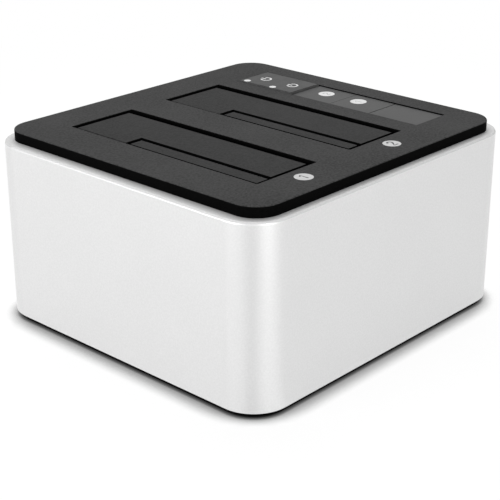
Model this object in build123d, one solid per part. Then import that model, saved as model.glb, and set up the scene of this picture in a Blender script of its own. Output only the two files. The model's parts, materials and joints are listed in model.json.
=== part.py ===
from build123d import *
from math import sqrt
import os

# Hard drive docking station with two bays, in millimetres. Drives stand on end in the bays, connector
# down, behind spring-loaded flaps. X runs to the user's right, Y to the rear and Z up. The origin is the
# centre of the footprint, on the surface that the station stands on.

# Drives the bays are made for
large_drive_thickness = 26.1
large_drive_width = 101.6
small_drive_thickness = 9.5
small_drive_width = 69.85
connector_from_drive_side = 30.1
connector_from_drive_base = 3.5

# Room round the bays and the control strip, which with the drives sets the station's width and depth
left_margin = 20.25
right_margin = 11.25
front_margin = 18.95
rear_margin = 19.35
bay_gap = 20.0
strip_gap = 10.4
shell_step_side = 4.85
shell_step_end = 3.85

# Aluminium shell
case_corner_radius = 16.0
case_wall = 2.5
shell_foot_z = 2.4
rim_z = 78.5
rim_thickness = 2.5
rim_chamfer = 0.6
corner_boss_radius = 4.0
corner_boss_merge = 0.8

# Base plate and feet
base_under_z = 1.0
base_thickness = 2.0
base_inset = 1.2
base_screw_recess = 1.8
base_upstand_height = 5.0
base_upstand_wall = 1.6
inner_clearance = 0.3
foot_width = 11.0
foot_corner_cut = 2.0
foot_clearance = 0.2
foot_recess = 1.0
vent_width = 3.0
vent_pitch = 10.0
vent_count = 5
foot_inset = 19.0

# Top plate
plate_corner_radius = 11.0
plate_rise = 4.5
plate_skin = 3.0
plate_border = 4.0
plate_edge_chamfer = 0.4
rim_seat = 6.0
locating_rib_wall = 1.8
locating_rib_drop = 3.0

# Drive bays
bay_side_clearance = 1.2
bay_flap_room = 7.9
bay_corner_radius = 0.8
small_bay_side_clearance = 0.6
small_bay_face_clearance = 0.9

# Drive wells
well_wall = 1.8
well_clearance = 0.3
well_floor_z = 20.0
well_shoulder_rise = 5.0
flap_tip_clearance = 1.9
well_drive_clearance = 1.3
flap_pocket_depth = 5.0
well_ear_length = 7.0
well_ear_width = 9.0
well_ear_thickness = 2.5
pin_boss_radius = 2.6
pin_boss_length = 2.0

# Large flap
flap_recess = 0.6
flap_thickness = 2.0
flap_edge_chamfer = 0.3
flap_neck = 2.4
flap_neck_bevel = 1.2
flap_rib_width = 1.5
flap_rib_height = 1.2
flap_gap_hinge = 2.7
flap_gap_free = 1.5
flap_gap_front = 2.5
flap_gap_rear = 2.0
flap_stop_clearance = 0.3
hinge_pin_radius = 1.0
hinge_running_clearance = 0.05
hinge_barrel_radius = 1.9
hinge_pin_offset = 2.2
flap_spring_space = 5.0
spring_wire = 0.75
spring_turns = 3
spring_pin_clearance = 0.12

# Small flap, nested in the large one
small_flap_gap = 1.8
small_flap_thickness = 1.5
small_flap_neck = 1.5
small_flange_thickness = 1.3
small_ear_clearance = 0.3
small_pin_radius = 0.75
small_barrel_radius = 1.5
small_pin_offset = 3.9
small_ear_width = 3.0
small_spring_space = 4.0
small_spring_wire = 0.5

# Control strip beside the second bay
strip_width = 20.4
strip_rear_step = 2.5
strip_plate_length = 26.2
strip_ledge_depth = 2.0
strip_ledge = 1.2
strip_fit = 0.2
strip_recess = 0.6
keys_length = 43.0
key_gap = 0.3
key_travel = 0.8
key_lip = 1.5
key_lip_thickness = 1.4
key_lip_clearance = 0.3
key_stem = 4.0
key_stem_clearance = 0.2
key_wall = 1.5
key_skirt = 2.4
key_cap_thickness = 2.0
window_proud = 0.3
window_chamfer = 0.25
lamp_inset = 3.2
symbol_inset = 11.0
lamp_rows = (2.9, 18.5)
symbol_rows = (7.6, 23.9)
light_pipe_width = 2.8
light_guide_plate = 1.0
light_guide_margin = 2.0
light_pipe_clearance = 0.3
led_height = 1.4
led_size = 3.0
switch_body = 6.0
switch_height = 4.0
switch_body_height = 3.0
switch_plunger = 3.2

# Boards, with the heights of their upper faces above the base plate
board_thickness = 1.6
standoff_height = 5.0
standoff_radius = 3.0
screw_head_radius = 2.6
screw_head_height = 1.7
board_screw_inset = 4.0
board_clearance = 0.3
control_board_drop = 7.4
control_board_front_reach = 9.0
main_board_left_gap = 15.5
main_board_front_gap = 26.5
main_board_rear_gap = 4.5
power_board_width = 42.0
power_board_side_gap = 1.5
power_board_front_gap = 12.5
power_board_rear_gap = 26.5
boards_gap = 8.0

# Parts on the boards
chip_size = 12.0
controller_size = 9.0
chip_height = 1.4
chip_rear_gap = 10.0
chip_left_gap = 26.0
chip_right_gap = 24.5
controller_front_gap = 16.0
controller_offset = 10.0
chip_sink_overhang = 0.5
chip_sink_height = 6.0
chip_sink_foot = 1.4
chip_sink_fin = 1.0
chip_sink_fins = 6
board_capacitor_length = 7.3
board_capacitor_width = 4.3
board_capacitor_height = 2.9
board_capacitor_gap = 6.0
board_capacitor_pitch = 9.0
output_capacitor_radius = 5.0
output_capacitor_height = 20.0
output_capacitor_pitch = 12.0
bulk_capacitor_radius = 9.0
bulk_capacitor_height = 30.0
transformer_width = 26.0
transformer_length = 28.0
transformer_height = 20.0
transformer_core = 3.5
winding_width = 18.0
winding_corner_cut = 4.0
winding_window_gap = 0.5
bobbin_height = 3.0
choke_width = 16.0
choke_limb = 4.4
choke_height = 7.0
choke_winding_length = 9.0
choke_winding_depth = 1.0
heat_sink_inset = 4.0
heat_sink_plate = 2.0
heat_sink_fin = 1.5
heat_sink_fins = 7
heat_sink_fin_rise = 6.0
heat_sink_depth = 6.5
heat_sink_length = 36.0
heat_sink_height = 26.0
sheet_thickness = 0.5
sheet_gap = 1.6
sheet_height = 24.0
sheet_front_gap = 16.0
sheet_fold = 5.0
sheet_fold_inset = 12.0

# Drive connectors
receptacle_width = 6.6
receptacle_length = 43.6
receptacle_height = 13.0
receptacle_slot_clearance = 0.6
receptacle_nose_length = 4.0
receptacle_nose_width = 3.2
receptacle_nose_drop = 0.4
contact_slot_width = 2.4
contact_slot_depth = 6.0
power_slot_start = -17.0
power_slot_length = 20.6
data_slot_start = 6.2
data_slot_length = 10.4
slot_key_length = 1.4
slot_key_reach = 1.2

# Rear panel with its sockets
panel_width = 92.0
panel_side_gap = 16.5
panel_bottom_z = 8.2
panel_height = 35.3
panel_corner_radius = 3.0
panel_fit = 0.2
panel_flange = 2.5
panel_flange_thickness = 2.0
socket_face_step = 1.0
inlet_from_side = 17.0
inlet_z = 27.0
inlet_body_width = 27.0
inlet_body_height = 19.6
inlet_depth = 22.0
inlet_wall = 1.3
inlet_cavity_depth = 16.0
inlet_pin_pitch = 7.0
inlet_pin_rise = 4.0
inlet_tag = 6.0
usb_from_side = 19.0
usb_width = 11.4
usb_height = 12.0
usb_depth = 17.0
usb_cavity_depth = 9.0
usb_wall = 1.2
usb_mouth_height = 6.8
usb_step = 1.2
usb_tongue_width = 5.6
usb_tongue_height = 2.8
usb_tongue_z = 3.0
usb_tongue_recess = 1.5
lock_slot_from_side = 7.0
lock_slot_width = 7.0
lock_slot_height = 3.0
lock_slot_rise = 4.0
panel_vent_width = 1.6
panel_vent_count = 8
panel_vent_usb_gap = 6.0
panel_vent_inlet_gap = 3.0
panel_vent_foot = 8.0
panel_vent_head = 5.0

# Leads
mains_lead = 1.8
mains_lead_bend = 2.5
mains_lead_reach = 9.0
low_voltage_lead = 1.6
low_voltage_height = 6.0
low_voltage_reach = 14.0
low_voltage_inset = 10.0
ribbon_width = 7.0
ribbon_thickness = 0.6

# Derived sizes
bay_width = large_drive_thickness + bay_flap_room
bay_length = large_drive_width + 2 * bay_side_clearance
plate_width = left_margin + 2 * bay_width + bay_gap + strip_gap + strip_width + right_margin
plate_depth = front_margin + bay_length + rear_margin
case_width = plate_width + 2 * shell_step_side
case_depth = plate_depth + 2 * shell_step_end
base_top_z = base_under_z + base_thickness
plate_top_z = rim_z + plate_rise
plate_under_z = plate_top_z - plate_skin
inner_width = case_width - 2 * case_wall
inner_depth = case_depth - 2 * case_wall
inner_radius = case_corner_radius - case_wall
mouth_width = plate_width - 2 * rim_seat
mouth_depth = plate_depth - 2 * rim_seat
mouth_radius = plate_corner_radius + 2.0
bay_1_left = left_margin - plate_width / 2
bay_lefts = [bay_1_left, bay_1_left + bay_width + bay_gap]
bay_front = front_margin - plate_depth / 2
bay_rear = bay_front + bay_length
small_bay_width = small_drive_thickness + small_bay_face_clearance
small_bay_length = small_drive_width + 2 * small_bay_side_clearance
flap_top_z = plate_top_z - flap_recess
flap_under_z = flap_top_z - flap_thickness
hinge_pin_z = plate_under_z - flap_stop_clearance - hinge_barrel_radius - 0.2
small_pin_z = flap_under_z - flap_stop_clearance - small_barrel_radius
flap_front = bay_front + flap_gap_front
flap_rear = bay_rear - flap_gap_rear
flap_reach = bay_width + hinge_pin_offset - flap_gap_free
pocket_z = hinge_pin_z - flap_reach - flap_tip_clearance
shoulder_z = pocket_z - well_shoulder_rise
strip_right = plate_width / 2 - right_margin
strip_left = strip_right - strip_width
strip_rear = bay_rear - strip_rear_step
keys_front = bay_front + strip_plate_length
keys_rear = keys_front + keys_length
board_under_z = base_top_z + standoff_height
board_top_z = board_under_z + board_thickness
connector_y = bay_front + bay_side_clearance + connector_from_drive_side
power_board_right = inner_width / 2 - power_board_side_gap
power_board_xs = (power_board_right - power_board_width, power_board_right)
power_board_ys = (power_board_front_gap - inner_depth / 2, inner_depth / 2 - power_board_rear_gap)
main_board_xs = (main_board_left_gap - inner_width / 2, power_board_xs[0] - boards_gap)
main_board_ys = (main_board_front_gap - inner_depth / 2, inner_depth / 2 - main_board_rear_gap)
control_board_top_z = plate_under_z - control_board_drop
control_board_rear = mouth_depth / 2 - inner_clearance - locating_rib_wall - board_clearance
control_board_xs = (strip_left, strip_right)
control_board_ys = (keys_front - control_board_front_reach, control_board_rear)
panel_right = inner_width / 2 - panel_side_gap
panel_left = panel_right - panel_width
panel_top_z = panel_bottom_z + panel_height
socket_face_y = case_depth / 2 - socket_face_step
inlet_x = panel_right - inlet_from_side
usb_x = panel_left + usb_from_side


def block(xs, ys, zs):
    """A box between two x, two y and two z values."""
    size = (xs[1] - xs[0], ys[1] - ys[0], zs[1] - zs[0])
    return Pos(xs[0], ys[0], zs[0]) * Box(*size, align=(Align.MIN, Align.MIN, Align.MIN))


def rounded_slab(width, depth, radius, z0, z1):
    """An upright slab about the origin with rounded corners, from z0 to z1."""
    return extrude(Plane.XY.offset(z0) * RectangleRounded(width, depth, radius), amount=z1 - z0)


def rounded_block(xs, ys, zs, radius):
    """A box with rounded upright corners."""
    middle = Pos((xs[0] + xs[1]) / 2, (ys[0] + ys[1]) / 2)
    return middle * rounded_slab(xs[1] - xs[0], ys[1] - ys[0], radius, *zs)


def cut_corner_pad(x, y, width, zs, cut):
    """An upright square pad with its corners cut."""
    half = width / 2
    pad = block((x - half, x + half), (y - half, y + half), zs)
    return chamfer(pad.edges().filter_by(Axis.Z), cut)


def prism_y(points, y0, y1):
    """A prism along Y whose outline is a list of x, z points."""
    face = make_face(Plane.XZ.offset(-y0) * Polyline(*points, close=True))
    return extrude(face, amount=y1 - y0, dir=(0, 1, 0))


def post(x, y, z0, z1, radius):
    """An upright cylinder from z0 to z1."""
    return Pos(x, y, z0) * Cylinder(radius, z1 - z0, align=(Align.CENTER, Align.CENTER, Align.MIN))


def hex_post(x, y, z0, z1, radius):
    """An upright six-sided prism from z0 to z1."""
    return extrude(Plane.XY.offset(z0) * Pos(x, y) * RegularPolygon(radius, 6), amount=z1 - z0)


def rod_y(x, z, y0, y1, radius):
    """A cylinder along Y from y0 to y1."""
    return Pos(x, y0, z) * Rot(-90, 0, 0) * Cylinder(
        radius, y1 - y0, align=(Align.CENTER, Align.CENTER, Align.MIN)
    )


def barrel_y(x, z, y0, y1, radius):
    """An eight-sided hinge barrel along Y, measured to its flats."""
    outline = Plane.XZ.offset(-y1) * Pos(x, z) * RegularPolygon(radius, 8, major_radius=False, rotation=22.5)
    return extrude(outline, amount=y1 - y0)


def spread(lengths, start, end):
    """Middles of pieces in a row between two ends, with equal gaps."""
    gap = (end - start - sum(lengths)) / (len(lengths) + 1)
    middles = []
    for length in lengths:
        middles.append(start + gap + length / 2)
        start += gap + length
    return middles


def write(shape, name):
    """Write one piece to its own file."""
    export_step(shape, f"parts/{name}.step")


# Places of the fasteners
def corner_boss_places():
    """Screw bosses in the shell's corners, on the diagonals of the corner arcs."""
    reach = (inner_radius - corner_boss_radius + corner_boss_merge) / sqrt(2)
    x = case_width / 2 - case_corner_radius + reach
    y = case_depth / 2 - case_corner_radius + reach
    return [(sx * x, sy * y) for sx in (-1, 1) for sy in (-1, 1)]


def plate_screw_places():
    """Screws that hold the top plate down to the rim, at the middle of its seat."""
    y = plate_depth / 2 - rim_seat / 2
    return [(sx * plate_width / 4, sy * y) for sx in (-1, 1) for sy in (-1, 1)]


def foot_places():
    """Feet in the corners of the base plate."""
    x = case_width / 2 - foot_inset
    y = case_depth / 2 - foot_inset
    return {
        "front_left": (-x, -y),
        "front_right": (x, -y),
        "rear_left": (-x, y),
        "rear_right": (x, y),
    }


def well_ear_places(left):
    """Ears at a well's front and rear ends, where it hangs from the top plate."""
    xs = (left + well_ear_width, left + bay_width - well_ear_width)
    reach = well_clearance + well_wall + well_ear_length / 2
    return [(x, y) for x in xs for y in (bay_front - reach, bay_rear + reach)]


def board_corners(xs, ys):
    """Fixing screws in the corners of a board."""
    return [
        (x, y)
        for x in (xs[0] + board_screw_inset, xs[1] - board_screw_inset)
        for y in (ys[0] + board_screw_inset, ys[1] - board_screw_inset)
    ]


def make_case_shell():
    """One-piece aluminium shell: upright walls, a rim turned inwards and corner screw bosses."""
    outer = rounded_slab(case_width, case_depth, case_corner_radius, shell_foot_z, rim_z)
    outer = chamfer(outer.edges().group_by(Axis.Z)[-1], rim_chamfer)
    shell = outer - rounded_slab(
        inner_width, inner_depth, inner_radius, shell_foot_z, rim_z - rim_thickness
    )
    for x, y in corner_boss_places():
        shell += post(x, y, base_top_z, rim_z - rim_thickness, corner_boss_radius)
    shell -= rounded_slab(mouth_width, mouth_depth, mouth_radius, rim_z - rim_thickness, rim_z)
    return shell - panel_cutout(0.0, inner_depth / 2, case_depth / 2)


def panel_cutout(margin, y0, y1):
    """The rear panel's outline, less a margin, between two y values."""
    width = panel_right - panel_left - 2 * margin
    height = panel_top_z - panel_bottom_z - 2 * margin
    middle = ((panel_left + panel_right) / 2, (panel_bottom_z + panel_top_z) / 2)
    outline = Plane.XZ.offset(-y1) * Pos(*middle) * RectangleRounded(width, height, panel_corner_radius)
    return extrude(outline, amount=y1 - y0)


def make_base_plate():
    """Moulded base: a flange under the shell's edge, an upstand inside it, standoffs and vents."""
    plate = rounded_slab(
        case_width - 2 * base_inset,
        case_depth - 2 * base_inset,
        case_corner_radius - base_inset,
        base_under_z,
        shell_foot_z,
    )
    fit_width = inner_width - 2 * inner_clearance
    fit_depth = inner_depth - 2 * inner_clearance
    fit_radius = inner_radius - inner_clearance
    upstand_top = base_top_z + base_upstand_height
    plate += rounded_slab(fit_width, fit_depth, fit_radius, base_under_z, upstand_top)
    plate -= rounded_slab(
        fit_width - 2 * base_upstand_wall,
        fit_depth - 2 * base_upstand_wall,
        fit_radius - base_upstand_wall,
        base_top_z,
        upstand_top,
    )
    gap = panel_flange + inner_clearance
    plate -= block(
        (panel_left - gap, panel_right + gap),
        (inner_depth / 2 - panel_flange_thickness - inner_clearance, inner_depth / 2),
        (base_top_z, upstand_top),
    )
    reach = corner_boss_radius + inner_clearance
    for x, y in corner_boss_places():
        xs = (x - reach, inner_width / 2) if x > 0 else (-inner_width / 2, x + reach)
        ys = (y - reach, inner_depth / 2) if y > 0 else (-inner_depth / 2, y + reach)
        plate -= block(xs, ys, (base_top_z, upstand_top))
        plate -= hex_post(x, y, base_under_z, base_under_z + base_screw_recess, screw_head_radius + 0.2)
    recess = foot_width + 2 * foot_clearance
    for x, y in foot_places().values():
        zs = (base_under_z, base_under_z + foot_recess)
        plate -= cut_corner_pad(x, y, recess, zs, foot_corner_cut)
    for xs, ys in ((main_board_xs, main_board_ys), (power_board_xs, power_board_ys)):
        for x, y in board_corners(xs, ys):
            plate += hex_post(x, y, base_top_z, board_under_z, standoff_radius)
    for left in bay_lefts:
        for side in (-1, 1):
            y = connector_y + side * receptacle_length / 3
            plate += hex_post(receptacle_x(left), y, base_top_z, board_under_z, standoff_radius)
    vent_ys = spread([vent_width] * vent_count, power_board_ys[0] + vent_pitch, power_board_ys[1] - vent_pitch)
    wide = (receptacle_x(bay_lefts[0]) + vent_pitch, receptacle_x(bay_lefts[1]) - vent_pitch)
    narrow = (power_board_xs[0] + vent_pitch, power_board_xs[1] - vent_pitch)
    for y in vent_ys:
        for xs in (wide, narrow):
            plate -= block(xs, (y - vent_width / 2, y + vent_width / 2), (base_under_z, base_top_z))
    return plate


def make_foot(x, y):
    """Rubber foot, set into its recess in the base plate."""
    return cut_corner_pad(x, y, foot_width, (0.0, base_under_z + foot_recess), foot_corner_cut)


def make_top_plate():
    """Moulded top plate with its bay mouths, the seat of the control strip and a locating rib."""
    plate = rounded_slab(plate_width, plate_depth, plate_corner_radius, rim_z, plate_top_z)
    plate = chamfer(plate.edges().group_by(Axis.Z)[-1], plate_edge_chamfer)
    plate -= rounded_slab(
        plate_width - 2 * plate_border,
        plate_depth - 2 * plate_border,
        plate_corner_radius - plate_border,
        rim_z,
        plate_under_z,
    )
    rib_width = mouth_width - 2 * inner_clearance
    rib_depth = mouth_depth - 2 * inner_clearance
    rib_radius = mouth_radius - inner_clearance
    rib_z = rim_z - rim_thickness - locating_rib_drop
    rib = rounded_slab(rib_width, rib_depth, rib_radius, rib_z, plate_under_z)
    rib -= rounded_slab(
        rib_width - 2 * locating_rib_wall,
        rib_depth - 2 * locating_rib_wall,
        rib_radius - locating_rib_wall,
        rib_z,
        plate_under_z,
    )
    plate += rib
    for x, y in plate_screw_places():
        plate += hex_post(x, y, rim_z, plate_under_z, screw_head_radius)
    for x, y in board_corners(control_board_xs, control_board_ys):
        plate += hex_post(x, y, control_board_top_z, plate_under_z, standoff_radius)
    for left in bay_lefts:
        plate -= rounded_block(
            (left, left + bay_width),
            (bay_front, bay_rear),
            (plate_under_z, plate_top_z),
            bay_corner_radius,
        )
    strip_xs = (strip_left, strip_right)
    seat_z = plate_top_z - strip_ledge_depth
    plate -= block(strip_xs, (bay_front, strip_rear), (seat_z, plate_top_z))
    plate -= block(strip_xs, (keys_front, keys_rear), (plate_under_z, plate_top_z))
    plate -= block(
        (strip_left + strip_ledge, strip_right - strip_ledge),
        (keys_rear, strip_rear - strip_ledge),
        (plate_under_z, seat_z),
    )
    return plate


def make_strip_plate():
    """Thin bare plate in the front part of the control strip."""
    return block(
        (strip_left + strip_fit, strip_right - strip_fit),
        (bay_front + strip_fit, keys_front - key_gap / 2),
        (plate_top_z - strip_ledge_depth, plate_top_z - strip_recess),
    )


def make_led_window():
    """Smoked window over the indicators, a little proud of the plate."""
    window = block(
        (strip_left + strip_fit, strip_right - strip_fit),
        (keys_rear + key_gap, strip_rear - strip_fit),
        (plate_top_z - strip_ledge_depth, plate_top_z + window_proud),
    )
    return chamfer(window.edges().group_by(Axis.Z)[-1], window_chamfer)


def indicator_places():
    """Middles of the lamps: two round ones and two under the power signs."""
    places = []
    for lamp_row, symbol_row in zip(lamp_rows, symbol_rows):
        places.append((strip_left + lamp_inset, strip_rear - lamp_row))
        places.append((strip_left + symbol_inset, strip_rear - symbol_row))
    return places


def make_light_guide():
    """Clear moulding behind the window: a thin plate with one light pipe down to each LED."""
    half = light_pipe_width / 2
    guide_front = min(y for _, y in indicator_places()) - half - light_guide_margin
    guide_top = plate_top_z - strip_ledge_depth
    guide_under = guide_top - light_guide_plate
    guide = block(
        (strip_left + strip_ledge + strip_fit, strip_right - strip_ledge - strip_fit),
        (guide_front, strip_rear - strip_ledge - strip_fit),
        (guide_under, guide_top),
    )
    pipe_foot = control_board_top_z + led_height + light_pipe_clearance
    for x, y in indicator_places():
        guide += block((x - half, x + half), (y - half, y + half), (pipe_foot, guide_under))
    return guide


def key_span(index):
    """The two y values between which a key lies."""
    length = (keys_rear - keys_front) / 2
    front = keys_front + index * length
    return front + key_gap / 2, front + length - key_gap / 2


def make_power_key(index):
    """Power key: a broad hollow cap, side lips under the top plate and a stem above its switch."""
    y0, y1 = key_span(index)
    x0, x1 = strip_left + strip_fit, strip_right - strip_fit
    key_top, skirt_z = plate_top_z - strip_recess, plate_under_z - key_skirt
    cap_under = key_top - key_cap_thickness
    key = block((x0, x1), (y0, y1), (skirt_z, key_top))
    key -= block((x0 + key_wall, x1 - key_wall), (y0 + key_wall, y1 - key_wall), (skirt_z, cap_under))
    lip_top = plate_under_z - key_lip_clearance
    lip_ys = (y0 + key_wall, y1 - key_wall)
    for lip_xs in ((strip_left - key_lip, x0 + key_wall), (x1 - key_wall, strip_right + key_lip)):
        key += block(lip_xs, lip_ys, (lip_top - key_lip_thickness, lip_top))
    x, y = switch_place(index)
    half = key_stem / 2
    stem_foot = control_board_top_z + switch_height + key_travel + key_stem_clearance
    return key + block((x - half, x + half), (y - half, y + half), (stem_foot, cap_under))


def switch_place(index):
    """The middle of the switch under a key."""
    y0, y1 = key_span(index)
    return (strip_left + strip_right) / 2, (y0 + y1) / 2


def make_tact_switch(index):
    """Push switch: square body with a square plunger."""
    x, y = switch_place(index)
    half, plunger = switch_body / 2, switch_plunger / 2
    body_top = control_board_top_z + switch_body_height
    body = block((x - half, x + half), (y - half, y + half), (control_board_top_z, body_top))
    return body + block(
        (x - plunger, x + plunger), (y - plunger, y + plunger), (body_top, control_board_top_z + switch_height)
    )


def make_board(xs, ys, top_z):
    """A circuit board."""
    return block(xs, ys, (top_z - board_thickness, top_z))


def make_indicator_leds():
    """Four LEDs on the control board, one under each light pipe."""
    half = led_size / 2
    zs = (control_board_top_z, control_board_top_z + led_height)
    return [block((x - half, x + half), (y - half, y + half), zs) for x, y in indicator_places()]


def receptacle_x(left):
    """The connector's centre line, set by the drive's own base face."""
    return left + connector_from_drive_base + 0.4


def make_drive_well(left):
    """Moulded well of one bay: a cup round the drive's lower end and a wider pocket for the flaps."""
    right = left + bay_width
    inner_left = left - well_clearance
    cup_right = left + large_drive_thickness + well_drive_clearance
    pocket_right = right + flap_pocket_depth
    y0, y1 = bay_front - well_clearance, bay_rear + well_clearance
    outline = [
        (inner_left - well_wall, plate_under_z),
        (inner_left - well_wall, well_floor_z - well_wall),
        (cup_right + well_wall, well_floor_z - well_wall),
        (cup_right + well_wall, shoulder_z - well_wall),
        (pocket_right + well_wall, pocket_z - well_wall),
        (pocket_right + well_wall, plate_under_z),
    ]
    hollow = [
        (inner_left, plate_under_z),
        (inner_left, well_floor_z),
        (cup_right, well_floor_z),
        (cup_right, shoulder_z),
        (pocket_right, pocket_z),
        (pocket_right, plate_under_z),
    ]
    well = prism_y(outline, y0 - well_wall, y1 + well_wall)
    pin_x = right + hinge_pin_offset
    for y, side in ((y0, -1), (y1, 1)):
        reach = well_wall + pin_boss_length
        ys = sorted((y, y + side * reach))
        zs = (hinge_pin_z - pin_boss_radius, plate_under_z)
        well += block((pin_x - pin_boss_radius, pin_x + pin_boss_radius), ys, zs)
    for x, y in well_ear_places(left):
        inner = y0 - well_wall if y < connector_y else y1 + well_wall
        outer = y + well_ear_length / 2 * (1 if y > inner else -1)
        ear = block(
            (x - well_ear_width / 2, x + well_ear_width / 2),
            (min(inner, outer), max(inner, outer)),
            (plate_under_z - well_ear_thickness, plate_under_z),
        )
        well += ear
    well -= prism_y(hollow, y0, y1)
    well -= rod_y(pin_x, hinge_pin_z, y0 - 5.0, y1 + 5.0, hinge_pin_radius + 0.02)
    slot = receptacle_slot_clearance
    well -= block(
        (receptacle_x(left) - receptacle_width / 2 - slot, receptacle_x(left) + receptacle_width / 2 + slot),
        (connector_y - receptacle_length / 2 - slot, connector_y + receptacle_length / 2 + slot),
        (well_floor_z - well_wall, well_floor_z),
    )
    # Window in the pocket's side, which the small flap passes when both flaps are down
    well -= block(
        (pocket_right, pocket_right + well_wall),
        (y0 + 1.5, bay_front + small_bay_length + 2.0),
        (pocket_z + 1.0, plate_under_z - 10.0),
    )
    return well


def make_large_flap(left):
    """Large flap: slab, neck and hinge flange in one, notched for the small flap and its spring."""
    right = left + bay_width
    pin_x = right + hinge_pin_offset
    slab_left = left + flap_gap_free
    slab_right = right - flap_gap_hinge
    flange_top = plate_under_z - flap_stop_clearance
    flange_under = flange_top - flap_thickness
    outline = [
        (slab_left, flap_under_z),
        (slab_left, flap_top_z),
        (slab_right, flap_top_z),
        (slab_right, flange_top),
        (pin_x, flange_top),
        (pin_x, flange_under),
        (slab_right - flap_neck + flap_neck_bevel, flange_under),
        (slab_right - flap_neck, flange_under + flap_neck_bevel),
        (slab_right - flap_neck, flap_under_z),
    ]
    flap = prism_y(outline, flap_front, flap_rear)
    flap = chamfer(flap.edges().filter_by(Axis.Y).group_by(Axis.Z)[-1], flap_edge_chamfer)
    flap += barrel_y(pin_x, hinge_pin_z, flap_front, flap_rear, hinge_barrel_radius)
    spring_y = flap_spring_y()
    flap -= block(
        (slab_right - flap_neck - inner_clearance, pin_x + hinge_barrel_radius),
        (spring_y, spring_y + flap_spring_space),
        (hinge_pin_z - hinge_barrel_radius, flap_under_z),
    )
    # Stiffening ribs under the slab, clear of the small flap's hinge
    rib_xs = (left + small_bay_width + 1.0, slab_right - flap_neck)
    rib_zs = (flap_under_z - flap_rib_height, flap_under_z)
    for y in (small_flap_rear() + 12.0, flap_rear - 2 * flap_rib_width):
        flap += block(rib_xs, (y, y + flap_rib_width), rib_zs)
    notch_right = left + small_bay_width
    flap -= block(
        (slab_left, notch_right),
        (flap_front, bay_front + small_bay_length),
        (flap_under_z, flap_top_z),
    )
    ear_x = notch_right + small_pin_offset
    for y0 in small_ear_fronts():
        ear = block(
            (ear_x - small_barrel_radius, ear_x + small_barrel_radius),
            (y0, y0 + small_ear_width),
            (small_pin_z - small_barrel_radius, flap_under_z),
        )
        flap += chamfer(ear.edges().filter_by(Axis.Y).group_by(Axis.Z)[0], small_barrel_radius / 2)
    flap -= rod_y(
        ear_x, small_pin_z, flap_front, bay_front + small_bay_length, small_pin_radius + 0.02
    )
    return flap - rod_y(pin_x, hinge_pin_z, flap_front, flap_rear, hinge_pin_radius + hinge_running_clearance)


def flap_spring_y():
    """Front end of the space for the large flap's spring, midway along its barrel."""
    return (flap_front + flap_rear - flap_spring_space) / 2


def small_flap_rear():
    """Rear end of the small flap."""
    return bay_front + small_bay_length - small_flap_gap


def small_ear_fronts():
    """Front faces of the two ears that carry the small flap's pin."""
    return flap_front + 1.0, small_flap_rear() - 1.0 - small_ear_width


def make_small_flap(left):
    """Small flap: a slab with a flange that passes under the large flap to its own pin."""
    slab_left = left + flap_gap_free
    slab_right = left + small_bay_width - small_flap_gap
    pin_x = left + small_bay_width + small_pin_offset
    under = flap_top_z - small_flap_thickness
    flange_top = flap_under_z - flap_stop_clearance
    front_ear, rear_ear = small_ear_fronts()
    y0, y1 = front_ear + small_ear_width + small_ear_clearance, rear_ear - small_ear_clearance
    slab = prism_y(
        [(slab_left, under), (slab_left, flap_top_z), (slab_right, flap_top_z), (slab_right, under)],
        flap_front,
        small_flap_rear(),
    )
    slab = chamfer(slab.edges().filter_by(Axis.Y).group_by(Axis.Z)[-1], flap_edge_chamfer)
    outline = [
        (slab_right - small_flap_neck, under),
        (slab_right, under),
        (slab_right, flange_top),
        (pin_x, flange_top),
        (pin_x, flange_top - small_flange_thickness),
        (slab_right - small_flap_neck, flange_top - small_flange_thickness),
    ]
    flap = slab + prism_y(outline, y0, y1) + barrel_y(pin_x, small_pin_z, y0, y1, small_barrel_radius)
    spring_y = small_spring_y()
    flap -= block(
        (pin_x - 2.2, pin_x + small_barrel_radius),
        (spring_y, spring_y + small_spring_space),
        (small_pin_z - small_barrel_radius, flap_under_z),
    )
    return flap - rod_y(pin_x, small_pin_z, y0, y1, small_pin_radius + hinge_running_clearance)


def small_spring_y():
    """Front end of the space for the small flap's spring."""
    return (flap_front + small_flap_rear() - small_spring_space) / 2


def make_hinge_pin(left):
    """Pin of the large flap, held in the well's end walls."""
    reach = well_clearance + well_wall + pin_boss_length
    return rod_y(
        left + bay_width + hinge_pin_offset, hinge_pin_z, bay_front - reach, bay_rear + reach, hinge_pin_radius
    )


def make_small_hinge_pin(left):
    """Pin of the small flap, held in the large flap's ears."""
    front_ear, rear_ear = small_ear_fronts()
    return rod_y(
        left + small_bay_width + small_pin_offset,
        small_pin_z,
        front_ear,
        rear_ear + small_ear_width,
        small_pin_radius,
    )


def make_torsion_spring(x, z, middle_y, inner_radius_, wire, leg_left, leg_right):
    """Torsion spring about a Y axis: wound turns with eight flats and a straight leg at each end."""
    length = spring_turns * wire
    y0 = middle_y - length / 2

    def ring(start, end, radius):
        outline = Plane.XZ.offset(-end) * Pos(x, z) * RegularPolygon(radius, 8, major_radius=False)
        return extrude(outline, amount=end - start)

    spring = ring(y0, y0 + length, inner_radius_ + 0.6 * wire)
    for turn in range(spring_turns):
        start = y0 + (turn + 0.1) * wire
        spring += ring(start, start + 0.8 * wire, inner_radius_ + wire)
    spring -= ring(y0, y0 + length, inner_radius_)
    half = 0.35 * wire
    legs = (
        ((x, z - inner_radius_ - wire / 2), leg_left, y0 + 0.5 * wire),
        ((x + inner_radius_ + wire / 2, z), leg_right, y0 + length - 0.5 * wire),
    )
    for (sx, sz), (ex, ez), y in legs:
        run = sqrt((ex - sx) ** 2 + (ez - sz) ** 2)
        nx, nz = half * (sz - ez) / run, half * (ex - sx) / run
        outline = [(sx + nx, sz + nz), (ex + nx, ez + nz), (ex - nx, ez - nz), (sx - nx, sz - nz)]
        spring += prism_y(outline, y - half, y + half)
    return spring


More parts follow.
